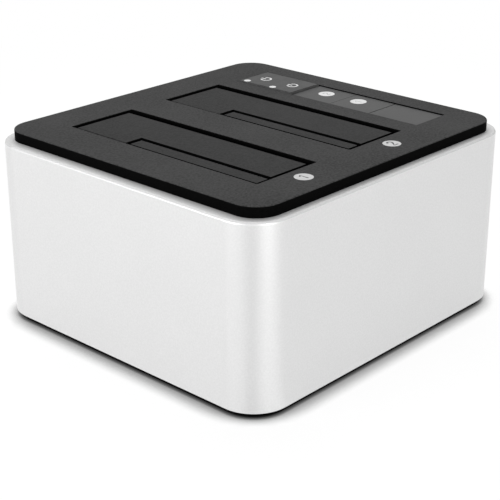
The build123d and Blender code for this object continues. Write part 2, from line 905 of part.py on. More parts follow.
def make_flap_spring(left):
    """Spring of the large flap: one leg up under the slab, one against the pocket's wall."""
    pin_x = left + bay_width + hinge_pin_offset
    return make_torsion_spring(
        pin_x,
        hinge_pin_z,
        flap_spring_y() + flap_spring_space / 2,
        hinge_pin_radius + spring_pin_clearance,
        spring_wire,
        (pin_x - 12.0, flap_under_z - 0.6),
        (pin_x + flap_pocket_depth - hinge_pin_offset - 0.6, hinge_pin_z - 8.0),
    )


def make_small_flap_spring(left):
    """Spring of the small flap: one leg under its slab, one under the large flap."""
    pin_x = left + small_bay_width + small_pin_offset
    return make_torsion_spring(
        pin_x,
        small_pin_z,
        small_spring_y() + small_spring_space / 2,
        small_pin_radius + spring_pin_clearance,
        small_spring_wire,
        (pin_x - 6.5, small_pin_z - 1.0),
        (pin_x + 6.0, flap_under_z - 0.4),
    )


def make_receptacle(left):
    """Drive connector: housing with a power slot, a data slot and a guide nose at each end."""
    x = receptacle_x(left)
    half_w, half_l = receptacle_width / 2, receptacle_length / 2
    half_nose, half_slot = receptacle_nose_width / 2, contact_slot_width / 2
    top = board_top_z + receptacle_height
    body = block((x - half_w, x + half_w), (connector_y - half_l, connector_y + half_l), (board_top_z, top))
    for side in (-1, 1):
        ys = sorted((connector_y + side * half_l, connector_y + side * (half_l - receptacle_nose_length)))
        body -= block((x - half_w, x + half_w), ys, (well_floor_z + 1.0, top))
        body += block((x - half_nose, x + half_nose), ys, (well_floor_z + 1.0, top - receptacle_nose_drop))
    zs = (top - contact_slot_depth, top)
    for start, length in ((power_slot_start, power_slot_length), (data_slot_start, data_slot_length)):
        y0 = connector_y + start
        body -= block((x - half_slot, x + half_slot), (y0, y0 + length), zs)
        body -= block((x - half_slot, x + half_slot + slot_key_reach), (y0, y0 + slot_key_length), zs)
    return body


def chip_places():
    """Bridge chips at the rear of the main board, and its controller near the front."""
    rear_y = main_board_ys[1] - chip_rear_gap
    middle_x = (main_board_xs[0] + main_board_xs[1]) / 2
    return [
        (main_board_xs[0] + chip_left_gap, rear_y),
        (main_board_xs[1] - chip_right_gap, rear_y),
        (middle_x - controller_offset, main_board_ys[0] + controller_front_gap),
    ]


def chip(x, y, size):
    """A flat chip on the main board."""
    half = size / 2
    return block((x - half, x + half), (y - half, y + half), (board_top_z, board_top_z + chip_height))


def make_bridge_chips():
    """One bridge chip per bay and a smaller controller."""
    sizes = (chip_size, chip_size, controller_size)
    return [chip(*place, size) for place, size in zip(chip_places(), sizes)]


def make_chip_heat_sink():
    """Small finned heat sink on the first bridge chip."""
    x, y = chip_places()[0]
    half = chip_size / 2 + chip_sink_overhang
    foot_z = board_top_z + chip_height
    zs = (foot_z + chip_sink_foot, foot_z + chip_sink_height)
    sink = block((x - half, x + half), (y - half, y + half), (foot_z, zs[0]))
    pitch = (2 * half - chip_sink_fin) / (chip_sink_fins - 1)
    for i in range(chip_sink_fins):
        fin_x = x - half + i * pitch
        sink += block((fin_x, fin_x + chip_sink_fin), (y - half, y + half), zs)
    return sink


def make_capacitors(places, radius, height):
    """Upright round capacitors on a board."""
    return [post(x, y, board_top_z, board_top_z + height, radius) for x, y in places]


def make_board_capacitors():
    """Two flat moulded capacitors at the right side of the main board."""
    x1 = main_board_xs[1] - board_capacitor_gap + board_capacitor_width / 2
    y1 = main_board_ys[1] - board_screw_inset - 2 * board_capacitor_pitch + board_capacitor_length / 2
    capacitors = []
    for i in range(2):
        y = y1 - i * board_capacitor_pitch
        capacitors.append(
            block(
                (x1 - board_capacitor_width, x1),
                (y - board_capacitor_length, y),
                (board_top_z, board_top_z + board_capacitor_height),
            )
        )
    return capacitors


def power_row():
    """Middles along Y of the output capacitors, transformer, bulk capacitor and choke."""
    lengths = (2 * output_capacitor_radius, transformer_length, 2 * bulk_capacitor_radius, choke_width)
    return spread(lengths, *power_board_ys)


def power_row_x():
    """Middle of that row, to the right of the heat sink."""
    return (power_board_xs[0] + heat_sink_inset + heat_sink_depth + power_board_xs[1]) / 2


def make_transformer():
    """Transformer: ferrite core round an upright bobbin with its winding."""
    x, y, z = power_row_x(), power_row()[1], board_top_z + bobbin_height
    half_w, half_l = transformer_width / 2, transformer_length / 2
    half_window = winding_width / 2 + winding_window_gap
    window = (z + transformer_core, z + transformer_height - transformer_core)
    core = block((x - half_w, x + half_w), (y - half_l, y + half_l), (z, z + transformer_height))
    core -= block((x - half_w, x + half_w), (y - half_window, y + half_window), window)
    winding = cut_corner_pad(x, y, winding_width, window, winding_corner_cut)
    bobbin = block((x - half_w + 1, x + half_w - 1), (y - half_l + 2, y + half_l - 2), (board_top_z, z))
    return core + winding + bobbin


def make_power_heat_sink():
    """Upright aluminium plate with fins that cools the switching transistor."""
    x, y = power_board_xs[0] + heat_sink_inset, power_row()[1] - heat_sink_length / 2
    zs = (board_top_z + heat_sink_fin_rise, board_top_z + heat_sink_height)
    sink = block((x, x + heat_sink_plate), (y, y + heat_sink_length), (board_top_z, zs[1]))
    pitch = (heat_sink_length - heat_sink_fin) / (heat_sink_fins - 1)
    for i in range(heat_sink_fins):
        fin_y = y + i * pitch
        sink += block((x + heat_sink_plate, x + heat_sink_depth), (fin_y, fin_y + heat_sink_fin), zs)
    return sink


def make_choke():
    """Mains filter choke: a square ferrite frame with a winding on each of two limbs."""
    x, y, z = power_row_x(), power_row()[3], board_top_z + choke_winding_depth
    half, hole = choke_width / 2, choke_width / 2 - choke_limb
    zs = (z, z + choke_height)
    choke = block((x - half, x + half), (y - half, y + half), zs)
    choke -= block((x - hole, x + hole), (y - hole, y + hole), zs)
    reach = choke_limb / 2 + choke_winding_depth
    ys = (y - choke_winding_length / 2 + choke_winding_depth, y + choke_winding_length / 2 - choke_winding_depth)
    for side in (-1, 1):
        limb_x = x + side * (half - choke_limb / 2)
        choke += block((limb_x - reach, limb_x + reach), ys, (board_top_z, zs[1] + choke_winding_depth))
    return choke


def make_insulator():
    """Fibre sheet between the mains side and the drive wells, folded under the power board."""
    x = power_board_xs[0] - sheet_gap
    ys = (power_board_ys[0] + sheet_front_gap, power_board_ys[1])
    sheet = block((x, x + sheet_thickness), ys, (base_top_z, board_top_z + sheet_height))
    fold_ys = (ys[0] + sheet_fold_inset, ys[1] - sheet_fold_inset)
    return sheet + block((x, x + sheet_fold), fold_ys, (base_top_z, base_top_z + sheet_thickness))


def inlet_outline(width, height):
    """Outline of an appliance inlet: a rectangle with its two upper corners cut."""
    w, h, c = width / 2, height / 2, height / 3.4
    return [
        (inlet_x - w, inlet_z - h),
        (inlet_x + w, inlet_z - h),
        (inlet_x + w, inlet_z + h - c),
        (inlet_x + w - c, inlet_z + h),
        (inlet_x - w + c, inlet_z + h),
        (inlet_x - w, inlet_z + h - c),
    ]


def make_ac_inlet():
    """Appliance inlet: moulded socket with three flat pins and solder tags behind."""
    rear_y = socket_face_y - inlet_depth
    cavity_y = socket_face_y - inlet_cavity_depth
    body = prism_y(inlet_outline(inlet_body_width, inlet_body_height), rear_y, socket_face_y)
    cavity = inlet_outline(inlet_body_width - 2 * inlet_wall, inlet_body_height - 2 * inlet_wall)
    body -= prism_y(cavity, cavity_y, socket_face_y)
    for x, z in inlet_pins():
        body += block((x - 1.0, x + 1.0), (cavity_y, socket_face_y - 3.0), (z - 2.0, z + 2.0))
        body += block((x - 0.4, x + 0.4), (rear_y - inlet_tag, rear_y), (z - 2.4, z + 2.4))
    return body


def inlet_pins():
    """Middles of the live, earth and neutral pins."""
    low, high = inlet_z - inlet_pin_rise / 2, inlet_z + inlet_pin_rise / 2
    return [(inlet_x - inlet_pin_pitch, low), (inlet_x, high), (inlet_x + inlet_pin_pitch, low)]


def make_usb_port():
    """Square data port on the main board: metal shell, stepped mouth and a contact tongue."""
    z0, z1 = board_top_z, board_top_z + usb_height
    x0, x1 = usb_x - usb_width / 2, usb_x + usb_width / 2
    ys = (socket_face_y - usb_cavity_depth, socket_face_y)
    port = block((x0, x1), (socket_face_y - usb_depth, socket_face_y), (z0, z1))
    mouth_top = z0 + usb_wall + usb_mouth_height
    port -= block((x0 + usb_wall, x1 - usb_wall), ys, (z0 + usb_wall, mouth_top))
    step = usb_wall + usb_step
    port -= block((x0 + step, x1 - step), ys, (mouth_top - 0.1, z1 - usb_wall))
    tongue = (z0 + usb_tongue_z, z0 + usb_tongue_z + usb_tongue_height)
    half = usb_tongue_width / 2
    return port + block((usb_x - half, usb_x + half), (ys[0], ys[1] - usb_tongue_recess), tongue)


def make_rear_panel():
    """Inset panel for the sockets, with a flange behind the shell's wall, vents and a lock slot."""
    flange_y = inner_depth / 2
    y0, y1 = flange_y - panel_flange_thickness, case_depth / 2
    panel = panel_cutout(panel_fit, flange_y, y1)
    flange_xs = (panel_left - panel_flange, panel_right + panel_flange)
    panel += block(flange_xs, (y0, flange_y), (panel_bottom_z - panel_flange, panel_top_z + panel_flange))
    panel -= prism_y(inlet_outline(inlet_body_width + 2 * panel_fit, inlet_body_height + 2 * panel_fit), y0, y1)
    usb_half = usb_width / 2 + panel_fit
    usb_zs = (board_top_z - panel_fit, board_top_z + usb_height + panel_fit)
    panel -= block((usb_x - usb_half, usb_x + usb_half), (y0, y1), usb_zs)
    vents_left = usb_x + usb_half + panel_vent_usb_gap
    vents_right = inlet_x - inlet_body_width / 2 - panel_vent_inlet_gap
    vent_zs = (panel_bottom_z + panel_vent_foot, panel_top_z - panel_vent_head)
    for x in spread([panel_vent_width] * panel_vent_count, vents_left, vents_right):
        panel -= block((x - panel_vent_width / 2, x + panel_vent_width / 2), (y0, y1), vent_zs)
    lock_x, lock_z = panel_left + lock_slot_from_side, (panel_bottom_z + panel_top_z) / 2 + lock_slot_rise
    return panel - rounded_slot_y(lock_x, lock_z, lock_slot_width, lock_slot_height, y0, y1)


def rounded_slot_y(x, z, length, height, y0, y1):
    """A slot with round ends, cut along Y."""
    outline = Plane.XZ.offset(-y1) * Pos(x, z) * SlotOverall(length, height)
    return extrude(outline, amount=y1 - y0)


def make_screw_heads(places, z0, z1):
    """Heads of the fixing screws, as six-sided studs."""
    return [hex_post(x, y, z0, z1, screw_head_radius) for x, y in places]


def make_lead(points, bends, width, thickness):
    """A flat lead along straight runs joined by tangent arcs."""
    print("lead", width, "by", thickness, "bend radii", bends)
    path = FilletPolyline(*points, radius=bends)
    section = Plane(origin=path @ 0, x_dir=(0, 1, 0), z_dir=path % 0) * Rectangle(width, thickness)
    return sweep(section, path=path)


def make_mains_leads():
    """Live and neutral leads from the inlet's tags down to the power board."""
    leads = []
    tag_y = socket_face_y - inlet_depth - inlet_tag
    for x, z in (inlet_pins()[0], inlet_pins()[2]):
        turn_y = tag_y - mains_lead_reach
        points = [(x, tag_y, z), (x, turn_y, z), (x, turn_y, board_top_z)]
        print("mains lead", mains_lead, "square, bend radius", mains_lead_bend)
        path = FilletPolyline(*points, radius=mains_lead_bend)
        section = Plane(origin=path @ 0, z_dir=path % 0) * Rectangle(mains_lead, mains_lead)
        leads.append(sweep(section, path=path))
    return leads


def make_low_voltage_leads():
    """Flat pair of leads that brings 12 V from the power board to the main board."""
    y, z = power_board_ys[0] + 8.5, board_top_z + low_voltage_height
    start_x, end_x = power_board_xs[0] + low_voltage_inset, main_board_xs[1] - low_voltage_inset
    turn_x, end_y = start_x - low_voltage_reach, main_board_ys[0] + 5.5
    points = [(start_x, y, board_top_z), (start_x, y, z), (turn_x, y, z), (end_x, end_y, z)]
    points.append((end_x, end_y, board_top_z))
    return make_lead(points, [2.4, 8.0, 2.4], 2 * low_voltage_lead, low_voltage_lead)


def make_ribbon():
    """Flat cable from the control board down to the main board."""
    y = bay_rear + well_clearance + well_wall + 4.2
    z_top = control_board_top_z - board_thickness
    start_x, end_x = (strip_left + strip_right) / 2 - 0.2, main_board_xs[1] - 14.0
    points = [
        (start_x, y, z_top),
        (start_x, y, z_top - 5.0),
        ((start_x + end_x) / 2 - 2.5, y, z_top - 20.0),
        (end_x, y, board_top_z + 16.0),
        (end_x, y, board_top_z),
    ]
    return make_lead(points, [3.0, 10.0, 8.0], ribbon_width, ribbon_thickness)


os.makedirs("parts", exist_ok=True)
write(make_case_shell(), "case_shell")
write(make_base_plate(), "base_plate")
for place, (foot_x, foot_y) in foot_places().items():
    write(make_foot(foot_x, foot_y), f"foot_{place}")
write(make_top_plate(), "top_plate")
write(make_strip_plate(), "strip_plate")
write(make_led_window(), "led_window")
write(make_light_guide(), "light_guide")
for index in range(2):
    bay = index + 1
    bay_left = bay_lefts[index]
    write(make_drive_well(bay_left), f"drive_well_{bay}")
    write(make_large_flap(bay_left), f"large_flap_{bay}")
    write(make_small_flap(bay_left), f"small_flap_{bay}")
    write(make_hinge_pin(bay_left), f"hinge_pin_{bay}")
    write(make_small_hinge_pin(bay_left), f"small_hinge_pin_{bay}")
    write(make_flap_spring(bay_left), f"flap_spring_{bay}")
    write(make_small_flap_spring(bay_left), f"small_flap_spring_{bay}")
    write(make_receptacle(bay_left), f"receptacle_{bay}")
    write(make_power_key(index), f"power_key_{bay}")
    write(make_tact_switch(index), f"tact_switch_{bay}")

write(make_board(main_board_xs, main_board_ys, board_top_z), "main_board")
write(Compound(make_bridge_chips()), "bridge_chips")
write(make_chip_heat_sink(), "chip_heat_sink")
write(Compound(make_board_capacitors()), "board_capacitors")
write(make_usb_port(), "usb_port")
write(make_board(power_board_xs, power_board_ys, board_top_z), "power_board")
write(make_transformer(), "transformer")
bulk_place = (power_row_x(), power_row()[2])
write(Compound(make_capacitors([bulk_place], bulk_capacitor_radius, bulk_capacitor_height)), "bulk_capacitor")
output_places = [(power_row_x() + side * output_capacitor_pitch / 2, power_row()[0]) for side in (-1, 1)]
output_cans = make_capacitors(output_places, output_capacitor_radius, output_capacitor_height)
write(Compound(output_cans), "output_capacitors")
write(make_power_heat_sink(), "power_heat_sink")
write(make_choke(), "mains_choke")
write(make_insulator(), "insulator_sheet")
write(make_board(control_board_xs, control_board_ys, control_board_top_z), "control_board")
write(Compound(make_indicator_leds()), "indicator_leds")
write(make_rear_panel(), "rear_panel")
write(make_ac_inlet(), "ac_inlet")
write(Compound(make_mains_leads()), "mains_leads")
write(make_low_voltage_leads(), "low_voltage_leads")
write(make_ribbon(), "ribbon_cable")

recess_top = base_under_z + base_screw_recess
base_screws = make_screw_heads(corner_boss_places(), recess_top - screw_head_height, recess_top)
write(Compound(base_screws), "base_screws")
rim_under = rim_z - rim_thickness
plate_screws = make_screw_heads(plate_screw_places(), rim_under - screw_head_height, rim_under)
write(Compound(plate_screws), "plate_screws")
well_screw_places = [place for left in bay_lefts for place in well_ear_places(left)]
ear_under = plate_under_z - well_ear_thickness
well_screws = make_screw_heads(well_screw_places, ear_under - screw_head_height, ear_under)
write(Compound(well_screws), "well_screws")
board_screw_places = board_corners(main_board_xs, main_board_ys) + board_corners(power_board_xs, power_board_ys)
board_screws = make_screw_heads(board_screw_places, board_top_z, board_top_z + screw_head_height)
write(Compound(board_screws), "board_screws")
control_under = control_board_top_z - board_thickness
control_screws = make_screw_heads(
    board_corners(control_board_xs, control_board_ys), control_under - screw_head_height, control_under
)
write(Compound(control_screws), "control_screws")
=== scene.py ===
"""Looks of a docking station that holds two bare hard drives on end.

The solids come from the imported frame. Here the pieces get their finishes, the shell, the top plate and the
small visible parts are built finer, and the studio is set up round them. Lengths are in metres.
"""

import json
import logging
import math
from dataclasses import dataclass
from enum import Enum
from typing import Any, Iterable, Sequence

import bmesh
import bpy
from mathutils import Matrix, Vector


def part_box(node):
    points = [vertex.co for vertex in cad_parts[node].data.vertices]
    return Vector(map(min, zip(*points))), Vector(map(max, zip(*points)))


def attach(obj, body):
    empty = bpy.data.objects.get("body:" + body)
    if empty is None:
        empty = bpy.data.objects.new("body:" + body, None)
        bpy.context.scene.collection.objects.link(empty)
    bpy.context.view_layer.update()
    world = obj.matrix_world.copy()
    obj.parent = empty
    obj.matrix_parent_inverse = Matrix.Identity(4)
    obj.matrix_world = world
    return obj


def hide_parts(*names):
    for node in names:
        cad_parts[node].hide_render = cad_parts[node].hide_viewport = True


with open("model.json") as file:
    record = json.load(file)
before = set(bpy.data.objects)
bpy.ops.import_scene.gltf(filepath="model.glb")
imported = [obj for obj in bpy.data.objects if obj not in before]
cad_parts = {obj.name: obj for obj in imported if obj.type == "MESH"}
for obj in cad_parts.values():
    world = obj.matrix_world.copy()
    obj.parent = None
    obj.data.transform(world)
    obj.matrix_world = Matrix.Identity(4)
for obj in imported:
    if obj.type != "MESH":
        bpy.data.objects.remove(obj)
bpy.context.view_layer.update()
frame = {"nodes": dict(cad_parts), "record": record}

MM = 0.001
INK = 0.04 * MM
MERGE_DISTANCE = 1e-6
FLAT_TURN = math.radians(0.5)
LOG = logging.getLogger("docking_station")

Point2 = tuple[float, float]
Point3 = tuple[float, float, float]
Loop = list[Point2]
Form = bmesh.types.BMesh
Ring = list[bmesh.types.BMVert]
Piece = bpy.types.Object
Tree = bpy.types.NodeTree
Node = bpy.types.Node
Socket = bpy.types.NodeSocket


class Pattern(Enum):
    """The small-scale patterns that the finishes use."""

    GRAIN = "even grain, as blasting or fine moulding leaves"
    PEBBLE = "rounded pits, as a spark-eroded mould leaves"
    BRUSHED = "fine parallel lines, as rolling, drawing or extruding leaves"
    WEAVE = "crossed threads, as under the resin of a board"
    SMOOTH = "polished, with only a faint unevenness"


# Materials by finish, since the frame's own slots already have materials of some of these names
BUILT: dict[str, bpy.types.Material] = {}
WHITE = (1.0, 1.0, 1.0, 1.0)
BLACK = (0.0, 0.0, 0.0, 1.0)


def linear(code: str) -> tuple[float, float, float, float]:
    """Turns an sRGB hex colour into a linear one.

    Args:
        code: Six hex digits after a hash sign.

    Returns:
        Red, green, blue and an alpha of 1.
    """
    channels = [int(code[i : i + 2], 16) / 255 for i in (1, 3, 5)]
    red, green, blue = (c / 12.92 if c <= 0.04045 else ((c + 0.055) / 1.055) ** 2.4 for c in channels)
    return (red, green, blue, 1.0)


def add_node(tree: Tree, kind: str, inputs: dict[Any, Any] | None = None, **settings: Any) -> Node:
    """Adds a node, sets its properties and fills its inputs.

    Args:
        tree: The tree that gets the node.
        kind: The node's type.
        inputs: Values, sockets or nodes by input name or number; of a node, the first output is linked.
        **settings: Properties of the node.

    Returns:
        The new node.
    """
    node = tree.nodes.new(kind)
    for name, value in settings.items():
        setattr(node, name, value)
    for name, value in (inputs or {}).items():
        source = value.outputs[0] if isinstance(value, Node) else value
        if isinstance(source, Socket):
            tree.links.new(source, node.inputs[name])
        else:
            node.inputs[name].default_value = source
    return node


def fresh_material(name: str) -> bpy.types.Material:
    """Makes a material with an empty node tree.

    Args:
        name: The material's name.

    Returns:
        The new material.
    """
    material = bpy.data.materials.new(name)
    material.use_nodes = True
    material.node_tree.nodes.clear()
    return material


@dataclass(frozen=True)
class Finish:
    """A surface: what it is made of, its colours and its small-scale pattern."""

    name: str
    colour: str
    grain_colour: str
    roughness: float
    pattern: Pattern = Pattern.GRAIN
    grain_mm: float = 0.6
    relief_mm: float = 0.01
    roughness_spread: float = 0.06
    metallic: float = 0.0
    ior: float = 1.5
    specular: float = 0.5
    coat: float = 0.0
    transmission: float = 0.0

    def material(self) -> bpy.types.Material:
        """Builds the finish's material on its first use.

        Returns:
            The material.
        """
        if self.name not in BUILT:
            BUILT[self.name] = self._build()
        return BUILT[self.name]

    def _build(self) -> bpy.types.Material:
        """Builds the material's nodes.

        Returns:
            The new material.
        """
        material = fresh_material(self.name)
        tree = material.node_tree
        place = add_node(tree, "ShaderNodeTexCoord").outputs["Object"]
        grain = self._grain(tree, place)
        # A slow change of tone over a few centimetres keeps large faces from looking like flat colour
        cloud = add_node(tree, "ShaderNodeTexNoise", {"Vector": place, "Scale": 28.0, "Detail": 2.0})
        spread = {"Value": cloud, "From Min": 0.3, "From Max": 0.7, "To Min": 0.0, "To Max": 0.25}
        share = add_node(tree, "ShaderNodeMapRange", spread)
        tone = add_node(tree, "ShaderNodeMath", {0: grain, 1: share}, operation="ADD")
        tones = {"Factor": tone, 6: linear(self.colour), 7: linear(self.grain_colour)}
        colour = add_node(tree, "ShaderNodeMix", tones, data_type="RGBA", clamp_factor=True)
        smoothest = max(0.02, self.roughness - self.roughness_spread)
        roughest = min(1.0, self.roughness + self.roughness_spread)
        inputs = {
            "Base Color": colour.outputs[2],
            "Roughness": add_node(
                tree, "ShaderNodeMapRange", {"Value": grain, "To Min": smoothest, "To Max": roughest}
            ),
            "Normal": add_node(
                tree, "ShaderNodeBump", {"Height": grain, "Distance": self.relief_mm * MM, "Strength": 1.0}
            ),
            "Metallic": self.metallic,
            "Specular IOR Level": self.specular,
            "Coat Weight": self.coat,
            "Transmission Weight": self.transmission,
        }
        if self.metallic < 0.5:
            inputs["IOR"] = self.ior
        shader = add_node(tree, "ShaderNodeBsdfPrincipled", inputs)
        add_node(tree, "ShaderNodeOutputMaterial", {"Surface": shader})
        return material

    def _grain(self, tree: Tree, place: Socket | Node) -> Node:
        """Adds the nodes of the small-scale pattern.

        Args:
            tree: The material's nodes.
            place: Object coordinates, in metres.

        Returns:
            A node that gives 0 to 1.
        """
        scale = 1.0 / (self.grain_mm * MM)
        if self.pattern is Pattern.PEBBLE:
            return add_node(tree, "ShaderNodeTexVoronoi", {"Vector": place, "Scale": scale}, feature="SMOOTH_F1")
        if self.pattern is Pattern.WEAVE:
            bands = {"Vector": place, "Scale": scale / 6.3, "Distortion": 0.4}
            across, along = (
                add_node(tree, "ShaderNodeTexWave", bands, bands_direction=axis).outputs["Fac"]
                for axis in ("X", "Y")
            )
            return add_node(tree, "ShaderNodeMath", {0: across, 1: along}, operation="MULTIPLY")
        if self.pattern is Pattern.BRUSHED:
            place = add_node(tree, "ShaderNodeMapping", {"Vector": place, "Scale": (1.0, 0.02, 1.0)})
        detail = 1.0 if self.pattern is Pattern.SMOOTH else 3.0
        noise = add_node(tree, "ShaderNodeTexNoise", {"Vector": place, "Scale": scale, "Detail": detail})
        return add_node(tree, "ShaderNodeMapRange", {"Value": noise, "From Min": 0.32, "From Max": 0.68})


# Bead-blasted, clear anodised aluminium: a silky pale grey that glints softly. The blasting's pits are
# about 0.1 mm, too fine to show, so they are drawn at 0.7 mm.
BLASTED_ALUMINIUM = Finish(
    "blasted_anodised_aluminium", "#D4D4D4", "#CECECE", 0.33, Pattern.GRAIN, 0.7, 0.0015, 0.04, metallic=0.75
)
# The same metal on the rim's machined face, blasted coarser: it scatters, so the dark plate hardly shows in it.
BLASTED_RIM = Finish("coarse_blasted_rim", "#BABABA", "#B2B2B2", 0.6, Pattern.GRAIN, 0.7, 0.002, 0.05, metallic=0.3)
# Spark-textured ABS: dark grey and dull, with a fine sparkle. The texture is about 0.2 mm, drawn at 0.9 mm.
TEXTURED_ABS = Finish(
    "spark_textured_abs", "#232323", "#3F3F3F", 0.6, Pattern.GRAIN, 0.9, 0.06, 0.1, ior=1.53, specular=0.02
)
# The same ABS on the flaps, painted a shade darker and a little rougher than the plate: painted shade for their lower
# place in the bays.
RECESS_SHADED_ABS = Finish(
    "recess_shaded_abs", "#212121", "#373737", 0.62, Pattern.GRAIN, 0.9, 0.06, 0.1, ior=1.53, specular=0.02
)
# The same ABS on the plate's upright sides, and on the upright faces of the flaps and base, painted nearly black:
# painted shade for the shadow that falls on these sides.
SHADE_PAINTED_ABS = Finish("shade_painted_side_abs", "#040404", "#070707", 0.55, Pattern.GRAIN, 0.8, 0.01, 0.05, specular=0.005)
# Satin ABS of the strip and keys: a lighter grey with a soft sheen.
SATIN_ABS = Finish(
    "satin_abs", "#3A3A3A", "#474747", 0.45, Pattern.GRAIN, 0.5, 0.006, 0.05, ior=1.53, specular=0.06
)
# Matt moulded ABS of the base and the wells: black, a little greyed by its grain.
MATT_ABS = Finish("matt_black_abs", "#151516", "#1E1E20", 0.58, Pattern.PEBBLE, 0.9, 0.02, 0.08, ior=1.53)
# Smoked acrylic: dark and glossy, with a sharp reflection.
SMOKED_ACRYLIC = Finish(
    "smoked_acrylic", "#444444", "#4B4B4B", 0.5, Pattern.SMOOTH, 4.0, 0.001, 0.02, ior=1.49, specular=0.035
)
# Clear acrylic of the light pipes: bright edges and a see-through middle.
CLEAR_ACRYLIC = Finish(
    "clear_acrylic", "#EEF1F2", "#E6EAEC", 0.12, Pattern.SMOOTH, 3.0, 0.001, 0.03, ior=1.49, transmission=0.8
)
# Carbon-filled rubber: dull black with a dry surface.
MOULDED_RUBBER = Finish("moulded_rubber", "#1B1B1B", "#242424", 0.85, Pattern.GRAIN, 0.5, 0.02, 0.06, ior=1.52)
# Ground steel: bright, with fine lines along the pin.
GROUND_STEEL = Finish("ground_steel", "#B9BABC", "#A4A5A8", 0.28, Pattern.BRUSHED, 0.2, 0.002, 0.08, metallic=1.0)
# Drawn spring wire: darker steel with drawing lines.
SPRING_WIRE = Finish("drawn_spring_wire", "#8E8F92", "#77787B", 0.34, Pattern.BRUSHED, 0.2, 0.002, 0.08, metallic=1.0)
# Zinc plating on screws: pale, slightly blue and uneven.
ZINC_PLATE = Finish("bright_zinc_plate", "#B4B8BE", "#9DA2A9", 0.32, Pattern.GRAIN, 0.6, 0.003, 0.08, metallic=1.0)
# Nickel plate on the data port: warm and bright.
NICKEL_PLATE = Finish("nickel_plate", "#C3BFB6", "#B1ADA3", 0.25, Pattern.BRUSHED, 0.3, 0.002, 0.06, metallic=1.0)
# Gold flash on the contacts: yellow metal.
GOLD_FLASH = Finish("gold_flash", "#E2B659", "#CFA149", 0.25, Pattern.SMOOTH, 0.5, 0.001, 0.05, metallic=1.0)
# Extruded aluminium of the heat sinks: dull metal with die lines.
EXTRUDED_ALUMINIUM = Finish(
    "extruded_aluminium", "#B7B9BB", "#A2A4A7", 0.4, Pattern.BRUSHED, 0.4, 0.004, 0.08, metallic=1.0
)
# Solder mask over woven glass: glossy green in which the threads just show. The threads are 0.4 mm apart.
SOLDER_MASK = Finish(
    "green_solder_mask", "#0F4A26", "#17592F", 0.32, Pattern.WEAVE, 0.8, 0.006, 0.08, ior=1.55, coat=0.2
)
# Moulded epoxy of the chips: black and dull.
MOULDED_EPOXY = Finish("moulded_epoxy", "#1A1A1B", "#252527", 0.6, Pattern.GRAIN, 0.4, 0.01, 0.06, ior=1.56)
# Shrink sleeve of the capacitors: dark blue with a wet gloss.
SHRINK_SLEEVE = Finish("pvc_shrink_sleeve", "#131B33", "#1B2543", 0.25, Pattern.SMOOTH, 2.0, 0.01, 0.05, ior=1.53)
# Moulded epoxy of the flat capacitors: amber, with a slight gloss.
MOULDED_TANTALUM = Finish("amber_moulded_epoxy", "#B8791F", "#A66A16", 0.35, Pattern.GRAIN, 0.4, 0.005, 0.06, ior=1.56)
# Sintered ferrite: charcoal ceramic with a fine grit.
SINTERED_FERRITE = Finish("sintered_ferrite", "#2E2E31", "#3B3B3F", 0.55, Pattern.GRAIN, 0.5, 0.01, 0.08, ior=2.0)
# Winding tape and enamelled copper: a warm orange brown.
ENAMELLED_COPPER = Finish(
    "enamelled_copper", "#A5531F", "#8A3F14", 0.28, Pattern.SMOOTH, 0.5, 0.002, 0.05, metallic=0.8, coat=0.4
)
# Polyester tape on the winding: translucent yellow.
WINDING_TAPE = Finish("polyester_tape", "#C79A2E", "#B88A22", 0.35, Pattern.BRUSHED, 0.6, 0.01, 0.06, ior=1.6)
# Vulcanised fibre sheet: cream paper with a mottled face.
FIBRE_SHEET = Finish("vulcanised_fibre", "#CFC6A8", "#BDB290", 0.7, Pattern.GRAIN, 1.2, 0.02, 0.06, ior=1.5)
# Glass-filled plastic of the sockets: black with a faint swirl.
GLASS_FILLED = Finish("glass_filled_polyester", "#121213", "#1C1C1E", 0.45, Pattern.GRAIN, 0.7, 0.01, 0.1, ior=1.57)
# Extruded PVC of the leads: soft black.
PVC_JACKET = Finish("extruded_pvc", "#1C1C1E", "#252528", 0.45, Pattern.BRUSHED, 0.6, 0.004, 0.06, ior=1.53)
# Clear epoxy of the LEDs: milky white.
LED_EPOXY = Finish("led_epoxy", "#DDE0DC", "#D2D6D1", 0.2, Pattern.SMOOTH, 0.6, 0.001, 0.04, ior=1.55)
# Pad-printed ink, white and dark: flat and slightly rough, with the screen's unevenness.
WHITE_INK = Finish("white_pad_ink", "#C6C6C6", "#BCBCBC", 0.55, Pattern.GRAIN, 0.5, 0.003, 0.05)
PALE_INK = Finish("pale_pad_ink", "#B2B2B2", "#A6A6A6", 0.55, Pattern.GRAIN, 0.4, 0.003, 0.05)
DARK_INK = Finish("dark_pad_ink", "#1E1E1F", "#28282A", 0.55, Pattern.GRAIN, 0.4, 0.003, 0.05)
GREY_INK = Finish("grey_pad_ink", "#9E9E9E", "#949494", 0.55, Pattern.GRAIN, 0.4, 0.003, 0.05)
# Painted shadow on the window's edge: a near-black band for the dark line of the step and gap round the window.
WINDOW_EDGE_SHADOW = Finish("painted_window_edge_shadow", "#060606", "#0A0A0A", 0.5, Pattern.GRAIN, 0.4, 0.002, 0.05, specular=0.05)

